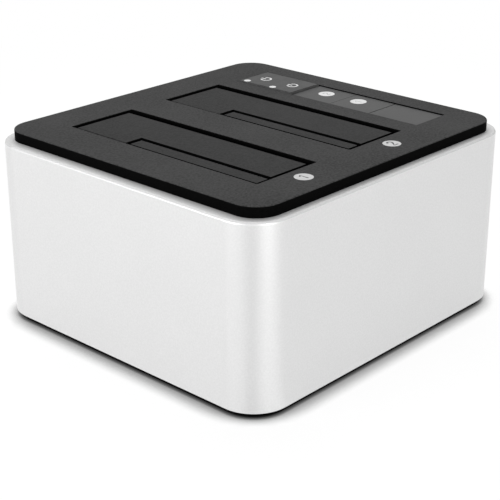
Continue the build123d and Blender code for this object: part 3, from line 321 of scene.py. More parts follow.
SLOT_FINISHES: dict[str, Finish] = {
    "anodised_aluminium": BLASTED_ALUMINIUM,
    "base_plastic": MATT_ABS,
    "foot_rubber": MOULDED_RUBBER,
    "top_plastic": TEXTURED_ABS,
    "flap_plastic": RECESS_SHADED_ABS,
    "strip_plastic": SATIN_ABS,
    "smoked_acrylic": SMOKED_ACRYLIC,
    "clear_acrylic": CLEAR_ACRYLIC,
    "well_plastic": MATT_ABS,
    "pin_steel": GROUND_STEEL,
    "spring_steel": SPRING_WIRE,
    "screw_steel": ZINC_PLATE,
    "board_laminate": SOLDER_MASK,
    "chip_epoxy": MOULDED_EPOXY,
    "heat_sink_aluminium": EXTRUDED_ALUMINIUM,
    "capacitor_sleeve": SHRINK_SLEEVE,
    "capacitor_moulding": MOULDED_TANTALUM,
    "ferrite": SINTERED_FERRITE,
    "insulating_fibre": FIBRE_SHEET,
    "connector_plastic": GLASS_FILLED,
    "port_steel": NICKEL_PLATE,
    "lead_jacket": PVC_JACKET,
    "led_epoxy": LED_EPOXY,
}
NODE_SLOTS: dict[str, str] = {part["node"]: part["material_slot"] for part in frame["record"]["subparts"]}
NODE_BODIES: dict[str, str] = {
    node: body for body, nodes in frame["record"]["behaviour"]["bodies"].items() for node in nodes
}


def new_object(name: str, data: bpy.types.ID) -> Piece:
    """Links data to the scene as an object at the origin.

    Args:
        name: The object's name.
        data: Its mesh, curve, light or camera.

    Returns:
        The new object.
    """
    piece = bpy.data.objects.new(name, data)
    bpy.context.scene.collection.objects.link(piece)
    return piece


def mesh_of(form: Form, name: str) -> bpy.types.Mesh:
    """Turns an edited mesh into mesh data and frees it.

    Args:
        form: The edited mesh, in metres.
        name: The data's name.

    Returns:
        The mesh data.
    """
    mesh = bpy.data.meshes.new(name)
    form.to_mesh(mesh)
    form.free()
    return mesh


def settle(piece: Piece) -> Piece:
    """Applies a piece's modifiers, so that only a plain mesh is left.

    Args:
        piece: The piece, at the origin.

    Returns:
        The same piece.
    """
    bpy.context.view_layer.update()
    graph = bpy.context.evaluated_depsgraph_get()
    mesh = bpy.data.meshes.new_from_object(piece.evaluated_get(graph))
    piece.modifiers.clear()
    piece.data = mesh
    return piece


def soften(piece: Piece, width_mm: float, angle: float = 40.0) -> Piece:
    """Rounds the edges of a piece and shades it smooth between them.

    Args:
        piece: The piece.
        width_mm: The width of the rounding; nothing is rounded at 0.
        angle: Edges that turn by less than this, in degrees, are left.

    Returns:
        The same piece, as a plain mesh.
    """
    piece.data.shade_smooth()
    if width_mm > 0:
        bevel = piece.modifiers.new("edges", "BEVEL")
        bevel.width = width_mm * MM
        bevel.segments = 2
        bevel.limit_method = "ANGLE"
        bevel.angle_limit = math.radians(angle)
        bevel.harden_normals = True
    else:
        form = bmesh.new()
        form.from_mesh(piece.data)
        for edge in form.edges:
            if len(edge.link_faces) == 2 and edge.calc_face_angle(0.0) > math.radians(angle):
                edge.smooth = False
        form.to_mesh(piece.data)
        form.free()
    weighted = piece.modifiers.new("normals", "WEIGHTED_NORMAL")
    weighted.keep_sharp = True
    weighted.weight = 90
    return settle(piece)


def paint_upright_shade(piece: Piece, faces: Finish, walls: Finish, steepest: float = 0.35) -> Piece:
    """Gives a piece's level faces one finish and paints its upright ones with a darker finish as painted shade.

    Args:
        piece: The piece, as a plain mesh.
        faces: The finish of what faces up or down.
        walls: The darker finish of what stands upright, which paints shade on it.
        steepest: How far an upright face may look up or down, as the sine of the angle.

    Returns:
        The same piece.
    """
    piece.data.materials.clear()
    for finish in (faces, walls):
        piece.data.materials.append(finish.material())
    for face in piece.data.polygons:
        face.material_index = 1 if abs(face.normal.z) < steepest else 0
    return piece


def seat(
    piece: Piece, body: str, finish: Finish | None, replaced: Sequence[str] = ()
) -> None:
    """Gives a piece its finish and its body.

    Args:
        piece: The finished mesh.
        body: The CAD body that it moves with.
        finish: Its finish, or None where the mesh already has its materials.
        replaced: The CAD nodes that it stands for.
    """
    if finish is not None:
        piece.data.materials.clear()
        piece.data.materials.append(finish.material())
    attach(piece, body)
    if replaced:
        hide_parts(*replaced)
    LOG.info("%s: %d faces on %s", piece.name, len(piece.data.polygons), body)


def cad_copy(node: str, name: str, width_mm: float = 0.0, angle: float = 40.0) -> Piece:
    """Copies a CAD node as a finer piece with softened edges.

    Args:
        node: The CAD node.
        name: The piece's name.
        width_mm: The width of its edges' rounding.
        angle: The smallest turn of an edge that is rounded or kept sharp, in degrees.

    Returns:
        The piece, which isn't seated yet.
    """
    form = bmesh.new()
    form.from_mesh(frame["nodes"][node].data)
    bmesh.ops.remove_doubles(form, verts=form.verts, dist=MERGE_DISTANCE)
    bmesh.ops.dissolve_limit(form, angle_limit=FLAT_TURN, verts=form.verts, edges=form.edges)
    return soften(new_object(name, mesh_of(form, name)), width_mm, angle=angle)


def dressed_node(node: str, name: str, width_mm: float = 0.0, angle: float = 40.0) -> None:
    """Stands a softened copy of a CAD node in the node's place, with the finish of its slot.

    Args:
        node: The CAD node.
        name: The piece's name.
        width_mm: The width of its edges' rounding.
        angle: The smallest turn of an edge that is rounded or kept sharp, in degrees.
    """
    slot = NODE_SLOTS[node]
    seat(cad_copy(node, name, width_mm, angle), NODE_BODIES[node], SLOT_FINISHES[slot], (node,))


def rounded_loop(width: float, depth: float, radius: float, steps: int, centre: Point2 = (0.0, 0.0)) -> Loop:
    """Points round a rectangle with rounded corners, anticlockwise from above.

    Args:
        width: Its size along X.
        depth: Its size along Y.
        radius: The corners' radius.
        steps: Steps in each corner.
        centre: Its middle.

    Returns:
        The loop's points.
    """
    points: Loop = []
    for quarter, (sx, sy) in enumerate(((1, 1), (-1, 1), (-1, -1), (1, -1))):
        cx = centre[0] + sx * (width / 2 - radius)
        cy = centre[1] + sy * (depth / 2 - radius)
        for step in range(steps + 1):
            turn = math.radians(90 * (quarter + step / steps))
            points.append((cx + radius * math.cos(turn), cy + radius * math.sin(turn)))
    return points


def circle(radius: float, centre: Point2 = (0.0, 0.0), steps: int = 32) -> Loop:
    """Points round a circle, anticlockwise from above.

    Args:
        radius: Its radius.
        centre: Its middle.
        steps: How many points it has.

    Returns:
        The loop's points.
    """
    turns = [2 * math.pi * i / steps for i in range(steps)]
    return [(centre[0] + radius * math.cos(t), centre[1] + radius * math.sin(t)) for t in turns]


def quarter_round(radius: float, steps: int) -> Loop:
    """The section of a rounded edge, from the wall up to the top.

    Args:
        radius: The edge's radius.
        steps: The steps of the rounding.

    Returns:
        How far each point lies inside the wall and under the top.
    """
    turns = [math.radians(90 * step / steps) for step in range(steps + 1)]
    return [(radius * (1 - math.cos(t)), radius * (1 - math.sin(t))) for t in turns]


def add_ring(form: Form, loop: Loop, z: float) -> Ring:
    """Returns a loop's points, added at a height."""
    return [form.verts.new((x, y, z)) for x, y in loop]


def stack(form: Form, rings: Sequence[Ring]) -> None:
    """Joins rings of as many points, one after another, with bands of faces.

    Args:
        form: The mesh that holds them.
        rings: The rings in order; the first again at the end closes the row.
    """
    for lower, upper in zip(rings, rings[1:]):
        for i, vert in enumerate(lower):
            j = (i + 1) % len(lower)
            form.faces.new((vert, lower[j], upper[j], upper[i]))


def fill_between(form: Form, rings: Iterable[Ring]) -> None:
    """Fills a flat face between an outer ring and the rings of its openings.

    Args:
        form: The mesh that holds them.
        rings: The outer ring, and any inside it.
    """
    edges = []
    for ring in rings:
        for i, vert in enumerate(ring):
            after = ring[(i + 1) % len(ring)]
            edges.append(form.edges.get((vert, after)) or form.edges.new((vert, after)))
    bmesh.ops.triangle_fill(form, use_beauty=True, edges=edges)


def outward(form: Form, name: str) -> Piece:
    """Turns every face of a closed mesh outwards and makes it a piece.

    Args:
        form: The edited mesh.
        name: The piece's name.

    Returns:
        The new piece.
    """
    bmesh.ops.recalc_face_normals(form, faces=form.faces)
    return new_object(name, mesh_of(form, name))


def lofted(name: str, levels: Sequence[tuple[Loop, float]], closed: bool = False) -> Piece:
    """Builds a piece from level outlines, one over another.

    Args:
        name: The piece's name.
        levels: Outline and height of each level, in order.
        closed: Whether the last level joins the first; otherwise a face closes each end.

    Returns:
        The new piece.
    """
    form = bmesh.new()
    rings = [add_ring(form, loop, z) for loop, z in levels]
    stack(form, [*rings, rings[0]] if closed else rings)
    if not closed:
        form.faces.new(rings[-1])
        form.faces.new(list(reversed(rings[0])))
    return new_object(name, mesh_of(form, name))


def middle_of(node: str) -> Vector:
    """Returns the middle of a CAD node's box."""
    low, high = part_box(node)
    return (low + high) / 2


@dataclass(frozen=True)
class Opening:
    """A rectangular opening with rounded corners in a flat plate."""

    x0: float
    x1: float
    y0: float
    y1: float
    radius: float

    @classmethod
    def over(cls, nodes: Sequence[str], margins: tuple[float, float, float, float], radius: float) -> "Opening":
        """The opening over some CAD nodes.

        Args:
            nodes: The nodes.
            margins: How far it reaches past them on the left, right, front and rear.
            radius: Its corners' radius.

        Returns:
            The opening.
        """
        lows, highs = zip(*(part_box(node) for node in nodes))
        left, right, front, rear = margins
        return cls(
            min(low.x for low in lows) - left,
            max(high.x for high in highs) + right,
            min(low.y for low in lows) - front,
            max(high.y for high in highs) + rear,
            radius,
        )

    def loop(self, grow: float = 0.0) -> Loop:
        """Points round the opening.

        Args:
            grow: How much it is widened on each side.

        Returns:
            The loop's points.
        """
        width, depth = self.x1 - self.x0 + 2 * grow, self.y1 - self.y0 + 2 * grow
        centre = ((self.x0 + self.x1) / 2, (self.y0 + self.y1) / 2)
        return rounded_loop(width, depth, self.radius + grow, 6, centre)


def bent_wire(name: str, route: Sequence[Point3], diameter: float) -> Piece:
    """A round wire along a route, with closed ends.

    Args:
        name: The piece's name.
        route: The points that its middle passes.
        diameter: Its diameter.

    Returns:
        The wire as a mesh.
    """
    curve = bpy.data.curves.new(name, "CURVE")
    curve.dimensions = "3D"
    curve.bevel_depth = diameter / 2
    curve.bevel_resolution = 3
    curve.use_fill_caps = True
    line = curve.splines.new("POLY")
    line.points.add(len(route) - 1)
    for point, place in zip(line.points, route):
        point.co = (*place, 1.0)
    holder = new_object(name + "_route", curve)
    bpy.context.view_layer.update()
    mesh = bpy.data.meshes.new_from_object(holder.evaluated_get(bpy.context.evaluated_depsgraph_get()))
    bpy.data.objects.remove(holder)
    return soften(new_object(name, mesh), 0.0, angle=60.0)


def printed_disc(name: str, centre: Point2, z: float, radius: float) -> Piece:
    """A disc of ink with a slightly rounded rim.

    Args:
        name: The piece's name.
        centre: The disc's middle.
        z: The height of the surface that it is printed on.
        radius: The disc's radius.

    Returns:
        The disc.
    """
    section = ((1.0, 0.0), (1.0, 0.6 * INK), (0.98, INK))
    return lofted(name, [(circle(share * radius, centre, 64), z + height) for share, height in section])


def digit_strokes(text: str) -> Loop:
    """The middle line of a plain digit that is one unit high.

    Args:
        text: The digit, 1 or 2.

    Returns:
        The line's points, about the digit's middle.
    """
    if text == "1":
        return [(-0.24, 0.26), (0.04, 0.5), (0.04, -0.5)]
    arc = [math.radians(turn) for turn in range(170, -45, -15)]
    return [*((0.27 * math.cos(t), 0.23 + 0.27 * math.sin(t)) for t in arc), (-0.29, -0.5), (0.31, -0.5)]


def printed_digit(name: str, text: str, centre: Point2, z: float, height: float) -> Piece:
    """A plain digit in raised ink, read from the front.

    Args:
        name: The piece's name.
        text: The digit.
        centre: Its middle.
        z: The height of the surface that it is printed on.
        height: The digit's height.

    Returns:
        The digit.
    """
    stroke, flatness = 0.2 * height, 0.05
    route = [(centre[0] + dx * height, centre[1] + dy * height, z) for dx, dy in digit_strokes(text)]
    digit = bent_wire(name, route, stroke)
    for vert in digit.data.vertices:
        vert.co.z = z + flatness * (vert.co.z - z)
    return digit


def power_sign(name: str, centre: Point2, z: float, radius: float, stroke: float) -> Piece:
    """The usual sign for power: a ring with a gap at the rear, and a bar through the gap.

    Args:
        name: The piece's name.
        centre: The ring's middle.
        z: The height of the surface that it is printed on.
        radius: The ring's mean radius.
        stroke: The width of the line.

    Returns:
        The sign as a mesh.
    """
    steps, half_gap, thickness = 48, math.radians(38), 0.03 * MM
    outline: Loop = []
    for reach, order in ((radius + stroke / 2, range(steps + 1)), (radius - stroke / 2, range(steps, -1, -1))):
        for step in order:
            turn = math.pi / 2 + half_gap + (2 * math.pi - 2 * half_gap) * step / steps
            outline.append((centre[0] + reach * math.cos(turn), centre[1] + reach * math.sin(turn)))
    half, foot, head = stroke / 2, centre[1] + 0.1 * radius, centre[1] + 1.25 * radius
    bar = [(centre[0] - half, foot), (centre[0] + half, foot), (centre[0] + half, head), (centre[0] - half, head)]
    form = bmesh.new()
    for loop in (outline, bar):
        lower, upper = add_ring(form, loop, z), add_ring(form, loop, z + thickness)
        stack(form, (lower, upper))
        fill_between(form, [lower])
        fill_between(form, [upper])
    return outward(form, name)


def socket_kind(value: Any) -> str:
    """The kind of socket that takes a value.

    Args:
        value: A number, a vector, an object or a material.

    Returns:
        The socket's type.
    """
    kinds = {int: "Int", float: "Float", tuple: "Vector", Piece: "Object", bpy.types.Material: "Material"}
    return "NodeSocket" + next(kind for holder, kind in kinds.items() if isinstance(value, holder))


class Repeat:
    """A Geometry Nodes tree with named inputs, turned to a plain mesh by one object."""

    def __init__(self, name: str, finish: Finish, inputs: dict[str, Any]) -> None:
        """Starts the tree.

        Args:
            name: The tree's name, which the piece gets too.
            finish: The piece's finish.
            inputs: Value of each input, by name.
        """
        self.name = name
        self.values = {**inputs, "Finish": finish.material()}
        self.tree = bpy.data.node_groups.new(name, "GeometryNodeTree")
        self.sockets = {
            label: self.tree.interface.new_socket(name=label, in_out="INPUT", socket_type=socket_kind(value))
            for label, value in self.values.items()
        }
        self.tree.interface.new_socket(name="Geometry", in_out="OUTPUT", socket_type="NodeSocketGeometry")
        self.start = self.tree.nodes.new("NodeGroupInput")

    def node(self, kind: str, inputs: dict[Any, Any] | None = None, **settings: Any) -> Node:
        """Adds a node to the tree; a text as an input stands for one of the tree's own inputs.

        Args:
            kind: The node's type.
            inputs: Values, nodes, sockets or names of the tree's inputs, by input name or number.
            **settings: Properties of the node.

        Returns:
            The new node.
        """
        own = self.start.outputs
        filled = {key: own[value] if isinstance(value, str) else value for key, value in (inputs or {}).items()}
        return add_node(self.tree, kind, filled, **settings)

    def copies(self, points: Socket | Node, shape: Socket | Node) -> Node:
        """Returns copies of a shape, one on each point."""
        return self.node("GeometryNodeInstanceOnPoints", {"Points": points, "Instance": shape})

    def row(self, shape: Node) -> Node:
        """Returns copies of a shape in a straight row, by the inputs Count, Start and Step."""
        inputs = {"Count": "Count", "Start Location": "Start", "Offset": "Step"}
        return self.copies(self.node("GeometryNodeMeshLine", inputs, mode="OFFSET"), shape)

    def piece(self, geometry: Node, smooth: bool = False) -> Piece:
        """Ends the tree and returns its result as a plain mesh.

        Args:
            geometry: What the tree has made.
            smooth: Whether its faces are shaded smooth.

        Returns:
            The piece, at the origin.
        """
        real = self.node("GeometryNodeRealizeInstances", {"Geometry": geometry})
        shaded = self.node("GeometryNodeSetShadeSmooth", {"Geometry": real, "Shade Smooth": smooth})
        dressed = self.node("GeometryNodeSetMaterial", {"Geometry": shaded, "Material": "Finish"})
        self.node("NodeGroupOutput", {"Geometry": dressed})
        holder = new_object(self.name, bpy.data.meshes.new(self.name))
        modifier = holder.modifiers.new("repeat", "NODES")
        modifier.node_group = self.tree
        for label, socket in self.sockets.items():
            modifier[socket.identifier] = self.values[label]
        return settle(holder)


@dataclass
class BarRow:
    """Equal bars in a straight row, such as contacts, slats or fins."""

    name: str
    count: int
    start: Point3
    step: Point3
    size: Point3
    finish: Finish

    def build(self) -> Piece:
        """Builds the row.

        Returns:
            The bars as one mesh.
        """
        repeat = Repeat(
            self.name,
            self.finish,
            {"Count": self.count, "Start": self.start, "Step": self.step, "Bar Size": self.size},
        )
        return repeat.piece(repeat.row(repeat.node("GeometryNodeMeshCube", {"Size": "Bar Size"})))


@dataclass
class LoopRow:
    """Turns of wire side by side round a straight limb or former."""

    name: str
    count: int
    centre: Point3
    step: Point3
    width: float
    height: float
    corner: float
    wire: float
    turned: Point3
    finish: Finish

    def build(self) -> Piece:
        """Builds the winding.

        Returns:
            The turns as one mesh.
        """
        half_run = [(self.count - 1) / 2 * along for along in self.step]
        repeat = Repeat(
            self.name,
            self.finish,
            {
                "Count": self.count,
                "Start": tuple(c - h for c, h in zip(self.centre, half_run)),
                "Step": self.step,
                "Width": self.width,
                "Height": self.height,
                "Corner Radius": self.corner,
                "Wire Radius": self.wire / 2,
                "Turned": self.turned,
            },
        )
        outline = repeat.node("GeometryNodeCurvePrimitiveQuadrilateral", {"Width": "Width", "Height": "Height"})
        corners = {"Curve": outline, "Radius": "Corner Radius", "Count": 4}
        rounded = repeat.node("GeometryNodeFilletCurve", corners, mode="POLY")
        section = repeat.node("GeometryNodeCurvePrimitiveCircle", {"Resolution": 8, "Radius": "Wire Radius"})
        wire = repeat.node("GeometryNodeCurveToMesh", {"Curve": rounded, "Profile Curve": section})
        upright = repeat.node("GeometryNodeTransform", {"Geometry": wire, "Rotation": "Turned"})
        return repeat.piece(repeat.row(upright), smooth=True)


@dataclass
class Coil:
    """A close-wound spring of round wire about a Y axis."""

    name: str
    centre: Point3
    length: float
    radius: float
    wire: float
    turns: float
    finish: Finish

    def build(self) -> Piece:
        """Winds the coil.

        Returns:
            The coil as one mesh.
        """
        repeat = Repeat(
            self.name,
            self.finish,
            {
                "Turns": self.turns,
                "Length": self.length,
                "Mean Radius": self.radius,
                "Wire Radius": self.wire / 2,
                "Place": self.centre,
            },
        )
        helix = repeat.node(
            "GeometryNodeCurveSpiral",
            {
                "Resolution": 28,
                "Rotations": "Turns",
                "Start Radius": "Mean Radius",
                "End Radius": "Mean Radius",
                "Height": "Length",
            },
        )
        section = repeat.node("GeometryNodeCurvePrimitiveCircle", {"Resolution": 10, "Radius": "Wire Radius"})
        ends = {"Curve": helix, "Profile Curve": section, "Fill Caps": True}
        tube = repeat.node("GeometryNodeCurveToMesh", ends)
        along_y = {"Geometry": tube, "Translation": "Place", "Rotation": (math.radians(-90), 0.0, 0.0)}
        return repeat.piece(repeat.node("GeometryNodeTransform", along_y), smooth=True)


@dataclass
class ScrewHeads:
    """Pan heads with a crossed recess, at given points, facing down or up."""

    name: str
    places: list[Point3]
    radius: float
    height: float
    facing: float
    finish: Finish

    def build(self) -> Piece:
        """Sets a head on each point.

        Returns:
            The heads as one mesh, domed towards the side that they face.
        """
        helpers = (self._points(), self._head())
        repeat = Repeat(self.name, self.finish, {"Points": helpers[0], "Head": helpers[1]})
        points, shape = (
            repeat.node("GeometryNodeObjectInfo", {"Object": label}).outputs["Geometry"]
            for label in ("Points", "Head")
        )
        piece = repeat.piece(repeat.copies(points, shape))
        for helper in helpers:
            bpy.data.objects.remove(helper)
        return piece

    def _points(self) -> Piece:
        """Makes the points on which the heads sit.

        Returns:
            A mesh without faces.
        """
        mesh = bpy.data.meshes.new(self.name + "_points")
        mesh.from_pydata(self.places, [], [])
        return new_object(self.name + "_points", mesh)

    def _head(self) -> Piece:
        """Builds one head: a domed disc with a crossed recess cut into it.

        Returns:
            The head.
        """
        form = bmesh.new()
        dome = ((1.0, 0.0), (1.0, 0.45), (0.93, 0.72), (0.75, 0.92), (0.45, 1.0))
        top_z, recess_z = self.height * self.facing, 0.35 * self.height * self.facing
        rings = [
            add_ring(form, circle(share * self.radius), rise * self.height * self.facing) for share, rise in dome
        ]
        stack(form, rings)
        form.faces.new(list(reversed(rings[0])))
        cross: Loop = []
        arm, width = 0.34 * self.radius, 0.11 * self.radius
        for x, y in ((1, 0), (0, 1), (-1, 0), (0, -1)):
            for side, reach in ((-1, arm), (1, arm), (1, width)):
                cross.append((x * reach - y * side * width, y * reach + x * side * width))
        top = add_ring(form, cross, top_z)
        bottom = add_ring(form, [(0.7 * x, 0.7 * y) for x, y in cross], recess_z)
        stack(form, (top, bottom))
        fill_between(form, [bottom])
        fill_between(form, [rings[-1], top])
        return outward(form, self.name + "_head")


@dataclass
class Casing:
    """The aluminium shell, the base plate with its feet and screws."""

    corner: float = 16 * MM
    wall: float = 2.5 * MM
    foot_edge: float = 0.3 * MM
    rim_thickness: float = 2.5 * MM
    rim_round: float = 1.1 * MM
    plate_overlap: float = 6 * MM
    mouth_corner: float = 13 * MM
    panel_overlap: float = 2.5 * MM
    panel_corner: float = 3 * MM
    screw_radius: float = 2.5 * MM
    screw_height: float = 1.6 * MM

    def build(self) -> None:
        """Builds the shell and dresses the base."""
        self._shell()
        # The base's upright faces are painted nearly black: painted shade under the shell.
        base = paint_upright_shade(cad_copy("base_plate", "base"), MATT_ABS, SHADE_PAINTED_ABS)
        seat(base, "case", None, ("base_plate",))
        for place in ("front_left", "front_right", "rear_left", "rear_right"):
            dressed_node(f"foot_{place}", f"rubber_foot_{place}", 0.3)
        self._base_screws()

    def _shell(self) -> None:
        """Lofts the shell through rounded rectangles and cuts its rear opening."""
        low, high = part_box("case_shell")
        width, depth = high.x - low.x, high.y - low.y
        outer = [(self.foot_edge, low.z), (0.0, low.z + self.foot_edge)]
        outer += [(inset, high.z - drop) for inset, drop in quarter_round(self.rim_round, 5)]
        stations = [(width - 2 * inset, depth - 2 * inset, self.corner - inset, z) for inset, z in outer]
        plate_low, plate_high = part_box("top_plate")
        plate = plate_high - plate_low
        mouth = (plate.x - 2 * self.plate_overlap, plate.y - 2 * self.plate_overlap, self.mouth_corner)
        inner = (width - 2 * self.wall, depth - 2 * self.wall, self.corner - self.wall)
        under = high.z - self.rim_thickness
        stations += [(*mouth, high.z), (*mouth, under), (*inner, under), (*inner, low.z)]
        shell = lofted("shell", [(rounded_loop(w, d, r, 18), z) for w, d, r, z in stations], closed=True)
        cutter = self._panel_cutter()
        cut = shell.modifiers.new("rear_opening", "BOOLEAN")
        cut.operation = "DIFFERENCE"
        cut.solver = "EXACT"
        cut.object = cutter
        settle(shell)
        bpy.data.objects.remove(cutter)
        soften(shell, 0.0, angle=50.0)
        for finish in (BLASTED_ALUMINIUM, BLASTED_RIM):
            shell.data.materials.append(finish.material())
        for face in shell.data.polygons:
            face.material_index = int(face.center.z > high.z - 0.7 * self.rim_round and face.normal.z > 0.2)
        seat(shell, "case", None, ("case_shell",))

    def _panel_cutter(self) -> Piece:
        """Builds a block of the rear opening's outline, through the rear wall.

        Returns:
            The block.
        """
        low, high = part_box("rear_panel")
        outer_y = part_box("case_shell")[1].y
        width, height = high.x - low.x - 2 * self.panel_overlap, high.z - low.z - 2 * self.panel_overlap
        centre = middle_of("rear_panel")
        loop = rounded_loop(width, height, self.panel_corner, 8, (centre.x, centre.z))
        form = bmesh.new()
        rings = [[form.verts.new((x, y, z)) for x, z in loop] for y in (outer_y - 2 * self.wall, outer_y + self.wall)]
        stack(form, rings)
        form.faces.new(rings[1])
        form.faces.new(list(reversed(rings[0])))
        return outward(form, "rear_opening_cutter")

    def _base_screws(self) -> None:
        """Stands pan-head screws in the place of the base's plain heads."""
        low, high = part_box("base_screws")
        radius = self.screw_radius
        places = [
            (x, y, high.z)
            for x in (low.x + radius, high.x - radius)
            for y in (low.y + radius, high.y - radius)
        ]
        heads = ScrewHeads("base_screw_heads", places, radius, self.screw_height, -1.0, ZINC_PLATE)
        seat(heads.build(), "case", None, ("base_screws",))


@dataclass
class Lid:
    """The moulded top plate with the marks of its two bays."""

    corner: float = 11 * MM
    edge: float = 0.5 * MM
    opening_edge: float = 0.3 * MM
    bay_margins: tuple[float, float, float, float] = (1.5 * MM, -4.1 * MM, 2.5 * MM, 2.0 * MM)
    bay_corner: float = 0.8 * MM
    strip_margin: float = 0.2 * MM
    strip_corner: float = 0.3 * MM
    mark_shift: float = 0.45 * MM
    mark_distance: float = 7.5 * MM
    mark_radius: float = 3.75 * MM
    digit_height: float = 4.2 * MM

    def build(self) -> None:
        """Builds the plate and its printed marks."""
        bays = [Opening.over((f"large_flap_{bay}",), self.bay_margins, self.bay_corner) for bay in (1, 2)]
        strip = Opening.over(("strip_plate", "led_window"), (self.strip_margin,) * 4, self.strip_corner)
        self._plate([*bays, strip])
        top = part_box("top_plate")[1].z
        for number, bay in enumerate(bays, 1):
            centre = ((bay.x0 + bay.x1) / 2 + self.mark_shift, bay.y0 - self.mark_distance)
            disc = printed_disc(f"bay_mark_{number}", centre, top, self.mark_radius)
            seat(disc, "case", PALE_INK)
            digit = printed_digit(f"bay_digit_{number}", str(number), centre, top + INK, self.digit_height)
            seat(digit, "case", DARK_INK)

    def _plate(self, openings: Sequence[Opening]) -> None:
        """Builds the plate as bands round its outline and openings, with a flat face between them.

        Args:
            openings: The openings that go through it.
        """
        low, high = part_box("top_plate")
        under_z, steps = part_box("case_shell")[1].z, 4
        form = bmesh.new()
        levels = [(0.0, under_z)]
        levels += [(inset, high.z - drop) for inset, drop in quarter_round(self.edge, steps)]
        outer = []
        for inset, z in levels:
            width, depth = high.x - low.x - 2 * inset, high.y - low.y - 2 * inset
            outer.append(add_ring(form, rounded_loop(width, depth, self.corner - inset, 16), z))
        stack(form, outer)
        top_rings, under_rings = [outer[-1]], [outer[0]]
        for opening in openings:
            rounding = quarter_round(self.opening_edge, steps)
            rings = [add_ring(form, opening.loop(grow), high.z - drop) for drop, grow in rounding]
            rings.append(add_ring(form, opening.loop(), under_z))
            stack(form, rings)
            top_rings.append(rings[0])
            under_rings.append(rings[-1])
        fill_between(form, top_rings)
        fill_between(form, under_rings)
        plate = soften(outward(form, "top_plate_skin"), 0.0, angle=50.0)
        # The plate's upright sides and the walls of its openings are painted nearly black: painted shade.
        paint_upright_shade(plate, TEXTURED_ABS, SHADE_PAINTED_ABS)
        seat(plate, "case", None, ("top_plate",))


@dataclass
class TorsionSpring:
    """A torsion spring of round wire on a pin along Y; its turns stand clear of each other by a hair."""

    node: str
    pushed: str
    pin: str
    wire: float
    radius: float
    pushing_leg: tuple[Point2, ...]
    resting_leg: tuple[Point2, ...]
    leg_shift: float = 1.0
    turns: float = 2.6
    wire_share: float = 0.96

    def build(self) -> None:
        """Winds the coil and adds both legs, of which one moves with the flap that it pushes."""
        body, middle = NODE_BODIES[self.node], middle_of(self.node).y
        axis, wire = middle_of(self.pin), self.wire_share * self.wire
        place = (axis.x, middle - self.wire, axis.z)
        coil = Coil(f"{self.node}_coil", place, 2 * self.wire, self.radius, wire, self.turns, SPRING_WIRE)
        seat(coil.build(), body, None, (self.node,))
        for end, side, points, rides in (
            ("pushing_leg", -self.leg_shift, self.pushing_leg, NODE_BODIES[self.pushed]),
            ("resting_leg", 1.0, self.resting_leg, body),
        ):
            route = [(axis.x + dx, middle + side * self.wire, axis.z + dz) for dx, dz in points]
            seat(bent_wire(f"{self.node}_{end}", route, wire), rides, SPRING_WIRE)


